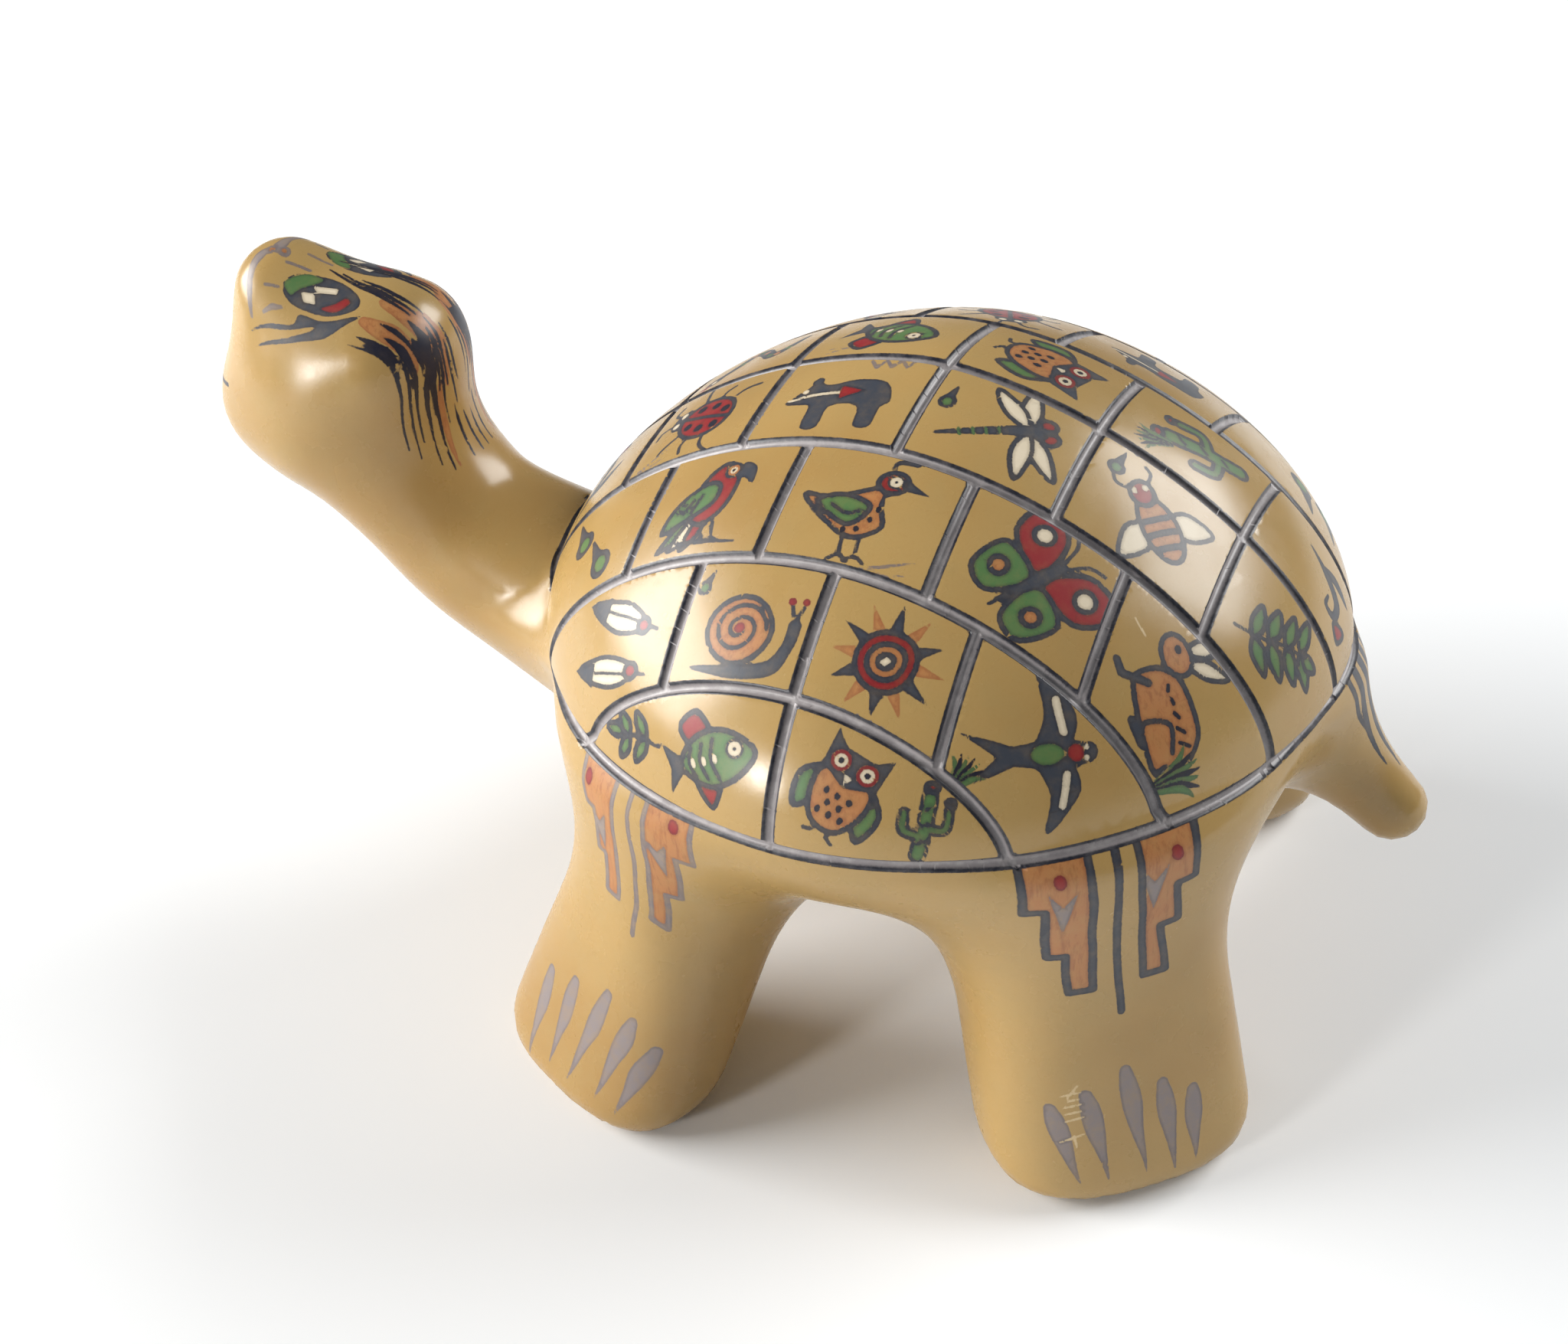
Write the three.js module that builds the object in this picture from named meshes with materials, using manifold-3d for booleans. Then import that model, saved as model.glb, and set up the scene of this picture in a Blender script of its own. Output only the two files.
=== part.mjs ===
// Pottery turtle figure: one sealed, hand-built clay form with a carved shell.
// Millimetres, +Z up. The turtle looks along -Y, and its left side is +X.
// The soles of its four feet stand on Z = 0. The form is worked out about the middle of
// the shell, and then moved so that the origin lies under the middle of its whole length.
import * as THREE from 'three';
import { mergeVertices } from 'three/addons/utils/BufferGeometryUtils.js';
import Module from 'manifold-3d';

// Shell: a low dome on a nearly round rim, and the bowl of the belly below it
const RIM_HEIGHT = 88.5;
const SHELL_HALF_WIDTH = 91;
const SHELL_HALF_LENGTH = 88;
const DOME_RISE = 59.5;
const BELLY_DROP = 41;
const PLAN_ROUNDNESS = 1.92;
const DOME_ROUNDNESS = 1.67;
const BELLY_ROUNDNESS = 2.15;

// Legs: flat paddles, splayed out. Each has the centre of its sole and of its root under
// the shell, the half width and half thickness there, and the heading of its outer face
// in degrees from the nose towards the side.
const FRONT_LEG = {
  sole: [78, -58.3], root: [47, -29], rootHeight: 81.5, heading: 57,
  soleHalf: [29, 15.7], rootHalf: [18, 25.5],
};
const REAR_LEG = {
  sole: [65.2, 56.7], root: [39.7, 34.8], rootHeight: 81.5, heading: 127,
  soleHalf: [29.3, 18.3], rootHalf: [26.1, 29.4],
};
const PADDLE_ROUNDNESS = 2.5;

// Neck: round, along a curve given by four control points of y, z and radius
const NECK = [
  [-62.6, 63.4, 25.7],
  [-133.1, 88.4, 20.2],
  [-110.7, 85.5, 18.7],
  [-142.9, 116.2, 22.1],
];
// Head: a blunt wedge between the back of the head, the nose and the chin
const NAPE = [-128, 135.4, 8.4];
const NOSE = [-155.1, 146.2, 5.3];
const CHIN = [-163.7, 119.9, 5.4];
const HEAD_WIDENING = 1.2;
// Tail: a blunt cone from under the shell to its tip
const TAIL_ROOT = [40.4, 108.4, 15.4];
const TAIL_TIP = [100.8, 50.3, 7.7];

// Widths over which the clay is smoothed where two forms meet
const CREASE = 2.6;
const LEG_FILLET = 25.5;
const LEG_TO_LEG_FILLET = 17.6;
const TAIL_FILLET = 20;
const NECK_FILLET = 26.4;
const HEAD_FILLET = 23;
const HEAD_TO_NECK_FILLET = 19.4;
const SOLE_EDGE = 10.5;

// Carved lines of the shell. Lanes run from head to tail, turned a little off the middle.
// Each lane is held by its distance from the middle line, and the short lines across the
// strips between the lanes by their distance behind the middle of the shell.
const LANE_TURN = THREE.MathUtils.degToRad(-6.9);
const LANES = [77.2, 56.8, 31.6, 4.9, -21, -47, -69.5];
const CROSSINGS = [
  [3.2],
  [-25.6, 3.2, 31.7],
  [-45, -14, 21, 51.6],
  [-60, -30.4, 4.1, 36.6, 66.4],
  [-60, -31, 4.3, 36.5, 66.5],
  [-45, -14, 18.5, 52.5],
  [-26, 3, 32],
  [3],
];
const LINE_WIDTH = 2.6;
const LINE_DEPTH = 1.1;
const RIM_LINE_WIDTH = 3;
const RIM_LINE_STEPS = 72;
const CUTTER_SHOULDER = 0.6;
const CUTTER_HEIGHT = 4;

// The carved cap is laid over a lower and narrower core, and its foot is set in it
const CORE_RISE = 50;
const CORE_INSET = 1.5;
const CAP_FOOT_DEPTH = 7;
const CAP_FOOT_SHARE = 0.92;
const CAP_STEP = 10.5;
const RIM_SETBACKS = [1.2, 5, 12];

// Size of the facets
const CELL = 7;
const CELL_COUNTS = [35, 45, 26];
const GRID_FRONT = -197;
const RELAX_PASSES = 6;
const PROJECTION_PASSES = 5;
const NECK_SAMPLES = 12;
const SURFACE_SLACK = 0.03;
const SHORTEST_EDGE = 0.3;

const smoothstep = THREE.MathUtils.smoothstep;

function smoothUnion(a, b, width) {
  const overlap = Math.max(width - Math.abs(a - b), 0) / width;
  return Math.min(a, b) - overlap * overlap * width / 4;
}

function smoothCut(a, b, width) {
  return -smoothUnion(-a, -b, width);
}

// Distance to the core of the shell and the belly below it
function bodyDistance(x, y, z) {
  const above = z > RIM_HEIGHT;
  const rise = above ? CORE_RISE : BELLY_DROP;
  const power = above ? DOME_ROUNDNESS : BELLY_ROUNDNESS;
  const across = Math.abs(x) / SHELL_HALF_WIDTH + 1e-6;
  const along = Math.abs(y) / SHELL_HALF_LENGTH + 1e-6;
  const high = Math.abs(z - RIM_HEIGHT) / rise + 1e-6;
  const plan = (across ** PLAN_ROUNDNESS + along ** PLAN_ROUNDNESS) ** (1 / PLAN_ROUNDNESS);
  const level = (plan ** power + high ** power) ** (1 / power);
  const outward = (plan / level) ** (power - 1);
  const slopeX = outward * (across / plan) ** (PLAN_ROUNDNESS - 1) / SHELL_HALF_WIDTH;
  const slopeY = outward * (along / plan) ** (PLAN_ROUNDNESS - 1) / SHELL_HALF_LENGTH;
  const slopeZ = (high / level) ** (power - 1) / rise;
  const inset = CORE_INSET * smoothstep(z - RIM_HEIGHT, -CORE_INSET, CORE_INSET);
  return (level - 1) / Math.hypot(slopeX, slopeY, slopeZ) + inset;
}

// Distance to a cone with ball ends in the middle plane
function coneDistance(x, y, z, start, end) {
  const [startY, startZ, startRadius] = start;
  const dy = end[0] - startY;
  const dz = end[1] - startZ;
  const share = ((y - startY) * dy + (z - startZ) * dz) / (dy * dy + dz * dz);
  const t = THREE.MathUtils.clamp(share, 0, 1);
  const radius = THREE.MathUtils.lerp(startRadius, end[2], t);
  return Math.hypot(x, y - startY - t * dy, z - startZ - t * dz) - radius;
}

function legFrame(leg) {
  const bottom = new THREE.Vector3(leg.sole[0], leg.sole[1], 0);
  const top = new THREE.Vector3(leg.root[0], leg.root[1], leg.rootHeight);
  const up = top.clone().sub(bottom);
  const length = up.length();
  up.normalize();
  const heading = THREE.MathUtils.degToRad(leg.heading);
  const out = new THREE.Vector3(Math.sin(heading), -Math.cos(heading), 0);
  out.addScaledVector(up, -out.dot(up)).normalize();
  const side = new THREE.Vector3().crossVectors(up, out);
  return { ...leg, bottom, up, out, side, length };
}

const legs = [FRONT_LEG, REAR_LEG].map(legFrame);
const arm = new THREE.Vector3();

function legDistance(x, y, z, leg) {
  arm.set(x, y, z).sub(leg.bottom);
  const height = arm.dot(leg.up);
  const t = smoothstep(height, 0, leg.length);
  const halfWidth = THREE.MathUtils.lerp(leg.soleHalf[0], leg.rootHalf[0], t);
  const halfDepth = THREE.MathUtils.lerp(leg.soleHalf[1], leg.rootHalf[1], t);
  const u = Math.abs(arm.dot(leg.side)) / halfWidth + 1e-6;
  const v = Math.abs(arm.dot(leg.out)) / halfDepth + 1e-6;
  const level = (u ** PADDLE_ROUNDNESS + v ** PADDLE_ROUNDNESS) ** (1 / PADDLE_ROUNDNESS);
  const slopeU = (u / level) ** (PADDLE_ROUNDNESS - 1) / halfWidth;
  const slopeV = (v / level) ** (PADDLE_ROUNDNESS - 1) / halfDepth;
  const paddle = (level - 1) / Math.hypot(slopeU, slopeV);
  return smoothCut(paddle, height - leg.length, LEG_TO_LEG_FILLET);
}

// Neck centre, radius and their first and second changes at a share of the curve
function neckAt(t, order) {
  const s = 1 - t;
  const weights = [
    [s * s * s, 3 * s * s * t, 3 * s * t * t, t * t * t],
    [-3 * s * s, 3 * s * s - 6 * s * t, 6 * s * t - 3 * t * t, 3 * t * t],
    [6 * s, 6 * t - 12 * s, 6 * s - 12 * t, 6 * t],
  ][order];
  return [0, 1, 2].map((k) => NECK.reduce((sum, point, i) => sum + weights[i] * point[k], 0));
}

const neckSamples = [];
for (let i = 0; i <= NECK_SAMPLES; i++) neckSamples.push(neckAt(i / NECK_SAMPLES, 0));

function neckDistance(x, y, z) {
  const reach = ([cy, cz, radius]) => Math.hypot(x, y - cy, z - cz) - radius;
  let best = 0;
  for (let i = 1; i <= NECK_SAMPLES; i++) {
    if (reach(neckSamples[i]) < reach(neckSamples[best])) best = i;
  }
  let t = best / NECK_SAMPLES;
  for (let pass = 0; pass < 3; pass++) {
    const [cy, cz] = neckAt(t, 0);
    const [vy, vz, radiusChange] = neckAt(t, 1);
    const [ay, az, radiusBend] = neckAt(t, 2);
    const gap = Math.hypot(x, y - cy, z - cz) + 1e-6;
    const towards = ((y - cy) * vy + (z - cz) * vz) / gap;
    const change = -towards - radiusChange;
    const turn = (vy * vy + vz * vz - towards * towards) / gap;
    const bend = turn - ((y - cy) * ay + (z - cz) * az) / gap - radiusBend;
    const limit = 0.6 / NECK_SAMPLES;
    const move = THREE.MathUtils.clamp(-change / Math.max(bend, 1), -limit, limit);
    t = THREE.MathUtils.clamp(t + move, 0, 1);
  }
  return reach(neckAt(t, 0));
}

function headDistance(x, y, z) {
  const narrow = x / HEAD_WIDENING;
  let head = coneDistance(narrow, y, z, NAPE, NOSE);
  head = smoothUnion(head, coneDistance(narrow, y, z, NOSE, CHIN), HEAD_FILLET);
  return smoothUnion(head, coneDistance(narrow, y, z, CHIN, NAPE), HEAD_FILLET);
}

// Distance to the whole clay form, below zero inside it
function clay(x, y, z) {
  const side = Math.abs(x);
  const below = RIM_HEIGHT - z;
  const limbBlend = smoothstep(below, -8, 6);
  const neckBlend = smoothstep(below, -3.5, 12.3);
  const front = legDistance(side, y, z, legs[0]);
  const rear = legDistance(side, y, z, legs[1]);
  const legPair = smoothUnion(front, rear, LEG_TO_LEG_FILLET);
  const tail = coneDistance(x, y, z, TAIL_ROOT, TAIL_TIP);
  let form = bodyDistance(x, y, z);
  form = smoothUnion(form, legPair, CREASE + LEG_FILLET * limbBlend);
  form = smoothUnion(form, neckDistance(x, y, z), CREASE + NECK_FILLET * neckBlend);
  form = smoothUnion(form, tail, CREASE + TAIL_FILLET * limbBlend);
  form = smoothUnion(form, headDistance(x, y, z), HEAD_TO_NECK_FILLET);
  return smoothCut(form, -z, SOLE_EDGE);
}

function outwardAt(x, y, z) {
  const e = 0.05;
  return new THREE.Vector3(
    clay(x + e, y, z) - clay(x - e, y, z),
    clay(x, y + e, z) - clay(x, y - e, z),
    clay(x, y, z + e) - clay(x, y, z - e),
  ).divideScalar(2 * e);
}

function settle(point) {
  for (let pass = 0; pass < PROJECTION_PASSES; pass++) {
    const slope = outwardAt(point.x, point.y, point.z);
    const move = clay(point.x, point.y, point.z) / Math.max(slope.lengthSq(), 0.1);
    point.addScaledVector(slope, -THREE.MathUtils.clamp(move, -CELL / 2, CELL / 2));
  }
  if (Math.abs(point.z) < 0.02) point.z = 0;
}

// Skin of the clay: one vertex in each cell that the surface crosses, joined in squares
function makeSkin() {
  const count = CELL_COUNTS;
  const start = [-count[0] / 2 * CELL, GRID_FRONT, -1.35 * CELL];
  const corner = (i, j, k) => (k * (count[1] + 1) + j) * (count[0] + 1) + i;
  const levels = new Float64Array((count[0] + 1) * (count[1] + 1) * (count[2] + 1));
  const place = (axis, i) => start[axis] + i * CELL;
  for (let k = 0; k <= count[2]; k++) {
    for (let j = 0; j <= count[1]; j++) {
      for (let i = 0; i <= count[0]; i++) {
        levels[corner(i, j, k)] = clay(place(0, i), place(1, j), place(2, k));
      }
    }
  }
  const points = [];
  const cellPoint = new Map();
  const edges = [];
  for (let c = 0; c < 8; c++) {
    for (let axis = 0; axis < 3; axis++) if (!(c >> axis & 1)) edges.push([c, c | 1 << axis]);
  }
  for (let k = 0; k < count[2]; k++) {
    for (let j = 0; j < count[1]; j++) {
      for (let i = 0; i < count[0]; i++) {
        const at = (c) => levels[corner(i + (c & 1), j + (c >> 1 & 1), k + (c >> 2 & 1))];
        const sum = new THREE.Vector3();
        let crossings = 0;
        for (const [a, b] of edges) {
          if (at(a) < 0 === at(b) < 0) continue;
          const t = at(a) / (at(a) - at(b));
          const step = [0, 1, 2].map((n) => THREE.MathUtils.lerp(a >> n & 1, b >> n & 1, t));
          sum.add(new THREE.Vector3(...step));
          crossings += 1;
        }
        if (!crossings) continue;
        sum.divideScalar(crossings).multiplyScalar(CELL);
        sum.add(new THREE.Vector3(place(0, i), place(1, j), place(2, k)));
        cellPoint.set(corner(i, j, k), points.length);
        points.push(sum);
      }
    }
  }
  const squares = [];
  const stride = [1, count[0] + 1, (count[0] + 1) * (count[1] + 1)];
  for (let k = 1; k < count[2]; k++) {
    for (let j = 1; j < count[1]; j++) {
      for (let i = 1; i < count[0]; i++) {
        const here = corner(i, j, k);
        for (let axis = 0; axis < 3; axis++) {
          const inside = levels[here] < 0;
          if (inside === levels[here + stride[axis]] < 0) continue;
          const u = stride[(axis + 1) % 3];
          const v = stride[(axis + 2) % 3];
          const square = [here - u - v, here - v, here, here - u].map((c) => cellPoint.get(c));
          squares.push(inside ? square : square.reverse());
        }
      }
    }
  }
  points.forEach(settle);
  relax(points, squares);
  return { points, squares };
}

// Even out the facets: each vertex slides towards the middle of its neighbours
function relax(points, squares) {
  for (let pass = 0; pass < RELAX_PASSES; pass++) {
    const sums = points.map(() => new THREE.Vector4(0, 0, 0, 0));
    for (const square of squares) {
      square.forEach((index, n) => {
        const next = points[square[(n + 1) % 4]];
        sums[index].add(new THREE.Vector4(next.x, next.y, next.z, 1));
      });
    }
    points.forEach((point, index) => {
      const { x, y, z, w } = sums[index];
      const middle = new THREE.Vector3(x, y, z).divideScalar(w);
      point.lerp(middle, 0.5);
      settle(point);
    });
  }
}

function skinGeometry({ points, squares }) {
  const positions = points.flatMap((point) => [point.x, point.y, point.z]);
  const index = [];
  for (const [a, b, c, d] of squares) {
    const first = points[a].distanceTo(points[c]) <= points[b].distanceTo(points[d]);
    index.push(...(first ? [a, b, c, a, c, d] : [a, b, d, b, c, d]));
  }
  const geometry = new THREE.BufferGeometry();
  geometry.setAttribute('position', new THREE.Float32BufferAttribute(positions, 3));
  geometry.setIndex(index);
  return geometry;
}

// Share of the way from the middle of the shell's plan to its rim
function planLevel(x, y) {
  const across = Math.abs(x) / SHELL_HALF_WIDTH;
  const along = Math.abs(y) / SHELL_HALF_LENGTH;
  return (across ** PLAN_ROUNDNESS + along ** PLAN_ROUNDNESS) ** (1 / PLAN_ROUNDNESS);
}

// Plan point from its distance across the lanes and along them
function lanePoint(offset, along) {
  const x = offset * Math.cos(LANE_TURN) - along * Math.sin(LANE_TURN);
  const y = offset * Math.sin(LANE_TURN) + along * Math.cos(LANE_TURN);
  return [x, y];
}

function domeHeight(x, y) {
  const level = Math.min(planLevel(x, y), 1);
  return RIM_HEIGHT + DOME_RISE * (1 - level ** DOME_ROUNDNESS) ** (1 / DOME_ROUNDNESS);
}

// Point of the dome, sunk by a depth along its normal
function domePoint(offset, along, depth) {
  const [x, y] = lanePoint(offset, along);
  const point = new THREE.Vector3(x, y, domeHeight(x, y));
  if (depth === 0) return point;
  const e = 0.05;
  const slopeX = (domeHeight(x + e, y) - domeHeight(x - e, y)) / (2 * e);
  const slopeY = (domeHeight(x, y + e) - domeHeight(x, y - e)) / (2 * e);
  return point.addScaledVector(new THREE.Vector3(-slopeX, -slopeY, 1).normalize(), -depth);
}

// Distance from a point of the plan to the rim, along a lane or across the lanes
function rimReach(offset, along, offsetStep, alongStep) {
  let inner = 0;
  let outer = 2 * SHELL_HALF_WIDTH;
  for (let pass = 0; pass < 40; pass++) {
    const middle = (inner + outer) / 2;
    const point = lanePoint(offset + middle * offsetStep, along + middle * alongStep);
    if (planLevel(...point) < 1) inner = middle;
    else outer = middle;
  }
  return inner;
}

// Values between fixed ones, no further apart than the step
function fill(values, step) {
  const sorted = [...values].sort((a, b) => a - b);
  const filled = [sorted[0]];
  for (let i = 1; i < sorted.length; i++) {
    const parts = Math.ceil((sorted[i] - sorted[i - 1]) / step);
    for (let n = 1; n <= parts; n++) {
      filled.push(THREE.MathUtils.lerp(sorted[i - 1], sorted[i], n / parts));
    }
  }
  return filled;
}

// One row of the cap, along the lanes: its points from the front rim to the rear rim
function capRow(offset, strips, deep) {
  const half = LINE_WIDTH / 2;
  const ahead = -rimReach(offset, 0, 0, -1);
  const behind = rimReach(offset, 0, 0, 1);
  const centres = strips.flatMap((strip) => CROSSINGS[strip]);
  const marks = deep ? centres : centres.flatMap((c) => [c - half, c, c + half]);
  const room = Math.min(behind, -ahead);
  const setbacks = RIM_SETBACKS.filter((setback) => setback < 0.6 * room);
  const last = setbacks.length ? setbacks[setbacks.length - 1] : 0;
  const inner = marks.filter((t) => t > ahead + last + half && t < behind - last - half);
  const fixed = [...inner];
  for (const setback of setbacks) fixed.push(ahead + setback, behind - setback);
  const alongs = fill([ahead, behind, ...fixed], CAP_STEP);
  return alongs.map((along) => {
    const carved = deep || centres.some((c) => Math.abs(c - along) < 1e-9);
    const onRim = along === ahead || along === behind;
    return { along, point: domePoint(offset, along, carved && !onRim ? LINE_DEPTH : 0) };
  });
}

function capRows() {
  const half = LINE_WIDTH / 2;
  const left = rimReach(0, 0, 1, 0);
  const right = -rimReach(0, 0, -1, 0);
  const rows = [];
  const edges = [left, ...LANES, right];
  for (let strip = 0; strip < CROSSINGS.length; strip++) {
    const outerSide = edges[strip] - (strip > 0 ? half : 0);
    const innerSide = edges[strip + 1] + (strip < LANES.length ? half : 0);
    const fixed = [outerSide, innerSide];
    if (strip === 0) fixed.push(...RIM_SETBACKS.slice(0, 2).map((setback) => left - setback));
    if (strip === LANES.length) {
      fixed.push(...RIM_SETBACKS.map((setback) => right + setback));
    }
    const offsets = fill(fixed, CAP_STEP).reverse();
    for (const offset of offsets) {
      if (offset === left || offset === right) {
        rows.push([{ along: 0, point: domePoint(offset, 0, 0) }]);
      } else {
        rows.push(capRow(offset, [strip], false));
      }
    }
    if (strip < LANES.length) rows.push(capRow(LANES[strip], [strip, strip + 1], true));
  }
  return rows;
}

// The carved cap of the shell: rows joined by triangles, over a foot inside the core
function makeCap() {
  const rows = capRows();
  const top = [];
  const starts = rows.map((row) => {
    const start = top.length;
    top.push(...row.map(({ point }) => point));
    return start;
  });
  const index = [];
  for (let i = 0; i + 1 < rows.length; i++) {
    const [left, right] = [rows[i], rows[i + 1]];
    let [a, b] = [0, 0];
    while (a < left.length - 1 || b < right.length - 1) {
      const nextLeft = a < left.length - 1 ? left[a + 1].along : Infinity;
      const nextRight = b < right.length - 1 ? right[b + 1].along : Infinity;
      const [p, q] = [starts[i] + a, starts[i + 1] + b];
      if (nextLeft <= nextRight) {
        index.push(p, p + 1, q);
        a += 1;
      } else {
        index.push(p, q + 1, q);
        b += 1;
      }
    }
  }
  const foot = top.map(({ x, y }) => new THREE.Vector3(
    x * CAP_FOOT_SHARE,
    y * CAP_FOOT_SHARE,
    RIM_HEIGHT - CAP_FOOT_DEPTH,
  ));
  const under = top.length;
  const faces = [...index];
  for (let i = 0; i < index.length; i += 3) {
    faces.push(under + index[i], under + index[i + 2], under + index[i + 1]);
  }
  const front = rows.map((row, i) => starts[i]);
  const rear = rows.map((row, i) => starts[i] + row.length - 1).slice(1, -1).reverse();
  const rim = [...front, ...rear];
  rim.forEach((here, i) => {
    const next = rim[(i + 1) % rim.length];
    faces.push(here, next, under + next, here, under + next, under + here);
  });
  const positions = [...top, ...foot].flatMap((point) => [point.x, point.y, point.z]);
  const geometry = new THREE.BufferGeometry();
  geometry.setAttribute('position', new THREE.Float32BufferAttribute(positions, 3));
  geometry.setIndex(faces);
  return geometry;
}

// A pointed bar that cuts the line round the rim, along the clay
function rimCutter() {
  const slope = RIM_LINE_WIDTH / 2 / LINE_DEPTH;
  const shoulder = (LINE_DEPTH + CUTTER_SHOULDER) * slope;
  const section = [
    [-LINE_DEPTH, 0],
    [CUTTER_SHOULDER, -shoulder],
    [CUTTER_HEIGHT, -shoulder],
    [CUTTER_HEIGHT, shoulder],
    [CUTTER_SHOULDER, shoulder],
  ];
  const points = [];
  for (let i = 0; i < RIM_LINE_STEPS; i++) {
    const angle = 2 * Math.PI * i / RIM_LINE_STEPS;
    const reach = 1 / planLevel(Math.cos(angle), Math.sin(angle));
    const point = new THREE.Vector3(reach * Math.cos(angle), reach * Math.sin(angle), RIM_HEIGHT);
    settle(point);
    points.push(point);
  }
  const positions = [];
  const index = [];
  const count = section.length;
  points.forEach((point, i) => {
    const before = points[(i + RIM_LINE_STEPS - 1) % RIM_LINE_STEPS];
    const after = points[(i + 1) % RIM_LINE_STEPS];
    const along = after.clone().sub(before).normalize();
    const out = outwardAt(point.x, point.y, point.z).normalize();
    const side = new THREE.Vector3().crossVectors(along, out).normalize();
    for (const [height, across] of section) {
      const corner = point.clone().addScaledVector(out, height).addScaledVector(side, across);
      positions.push(corner.x, corner.y, corner.z);
    }
    const a = count * i;
    const b = count * ((i + 1) % RIM_LINE_STEPS);
    for (let n = 0; n < count; n++) {
      const m = (n + 1) % count;
      index.push(a + n, a + m, b + m, a + n, b + m, b + n);
    }
  });
  const geometry = new THREE.BufferGeometry();
  geometry.setAttribute('position', new THREE.Float32BufferAttribute(positions, 3));
  geometry.setIndex(index);
  return geometry;
}

const wasm = await Module();
wasm.setup();

function toSolid(geometry) {
  const merged = mergeVertices(geometry);
  return new wasm.Manifold(new wasm.Mesh({
    numProp: 3,
    vertProperties: merged.attributes.position.array,
    triVerts: Uint32Array.from(merged.index.array),
  }));
}

function toGeometry(solid) {
  const mesh = solid.getMesh();
  const geometry = new THREE.BufferGeometry();
  geometry.setAttribute('position', new THREE.BufferAttribute(mesh.vertProperties, 3));
  geometry.setIndex(new THREE.BufferAttribute(mesh.triVerts, 1));
  return geometry;
}

// Edges of facets under a length are closed up, where the surface stays sound
function closeShortEdges(geometry, least) {
  const { array, count } = geometry.attributes.position;
  const points = Array.from({ length: count }, (_, i) => (
    new THREE.Vector3().fromArray(array, 3 * i)
  ));
  const faces = [];
  const around = points.map(() => new Set());
  for (let i = 0; i < geometry.index.count; i += 3) {
    const face = [0, 1, 2].map((n) => geometry.index.array[i + n]);
    faces.push(face);
    for (const point of face) around[point].add(face);
  }
  const neighbours = (point) => new Set([...around[point]].flat().filter((n) => n !== point));
  const facing = (corners) => {
    const [a, b, c] = corners.map((n) => points[n]);
    return new THREE.Vector3().crossVectors(b.clone().sub(a), c.clone().sub(a));
  };
  const mayClose = (gone, kept) => {
    const near = neighbours(kept);
    if ([...neighbours(gone)].filter((n) => near.has(n)).length !== 2) return false;
    return [...around[gone]].every((face) => {
      if (face.includes(kept)) return true;
      const before = facing(face);
      const after = facing(face.map((n) => (n === gone ? kept : n)));
      return before.dot(after) > 0 && after.length() > least * least / 4;
    });
  };
  const close = (gone, kept) => {
    for (const face of [...around[gone]]) {
      around[gone].delete(face);
      if (face.includes(kept)) {
        for (const point of face) around[point].delete(face);
        face.length = 0;
      } else {
        face[face.indexOf(gone)] = kept;
        around[kept].add(face);
      }
    }
  };
  for (const face of faces) {
    for (let n = 0; n < face.length; n++) {
      const [a, b] = [face[n], face[(n + 1) % 3]];
      if (points[a].distanceTo(points[b]) >= least) continue;
      if (mayClose(a, b)) close(a, b);
      else if (mayClose(b, a)) close(b, a);
    }
  }
  const closed = new THREE.BufferGeometry();
  const index = faces.flat();
  const used = [...new Set(index)];
  const place = new Map(used.map((point, i) => [point, i]));
  const positions = used.flatMap((point) => points[point].toArray());
  closed.setAttribute('position', new THREE.Float32BufferAttribute(positions, 3));
  closed.setIndex(index.map((point) => place.get(point)));
  return closed;
}

const skin = toSolid(skinGeometry(makeSkin()));
const cap = toSolid(makeCap());
const joined = skin.add(cap).subtract(toSolid(rimCutter())).asOriginal();
const body = closeShortEdges(toGeometry(joined.simplify(SURFACE_SLACK)), SHORTEST_EDGE);

const clayMaterial = new THREE.MeshStandardMaterial({
  color: 0xc59d62, roughness: 0.4, metalness: 0,
});
const turtle = new THREE.Mesh(body, clayMaterial);
turtle.name = 'turtle';
body.computeBoundingBox();
turtle.position.y = -body.boundingBox.getCenter(new THREE.Vector3()).y;

const group = new THREE.Group();
group.add(turtle);

export default group;
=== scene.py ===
# Pottery turtle figure: a burnished clay pot with a carved, painted shell.
# The form is worked out in millimetres about the middle of the shell, and scaled at the end.
import math
import random

import bpy
import numpy as np
from mathutils import Matrix


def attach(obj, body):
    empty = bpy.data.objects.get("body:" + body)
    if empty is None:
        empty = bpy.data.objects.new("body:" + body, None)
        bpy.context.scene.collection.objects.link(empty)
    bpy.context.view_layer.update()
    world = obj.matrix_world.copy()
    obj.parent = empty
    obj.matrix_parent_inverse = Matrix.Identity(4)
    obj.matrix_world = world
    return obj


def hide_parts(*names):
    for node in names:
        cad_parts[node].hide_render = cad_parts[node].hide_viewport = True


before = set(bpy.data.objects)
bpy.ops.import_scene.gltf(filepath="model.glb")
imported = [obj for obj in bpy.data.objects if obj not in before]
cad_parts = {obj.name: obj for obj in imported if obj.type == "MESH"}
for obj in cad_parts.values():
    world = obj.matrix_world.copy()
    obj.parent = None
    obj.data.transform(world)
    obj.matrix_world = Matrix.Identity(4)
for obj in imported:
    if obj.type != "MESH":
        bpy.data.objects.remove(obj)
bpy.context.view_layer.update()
bpy.ops.object.select_all(action="DESELECT")

MM = 0.001
UP = np.array([0.0, 0.0, 1.0])
# The origin lies under the middle of the whole length, behind it the middle of the shell
SHELL_MIDDLE = np.array([0.0, 33.75, 0.0])

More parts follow.
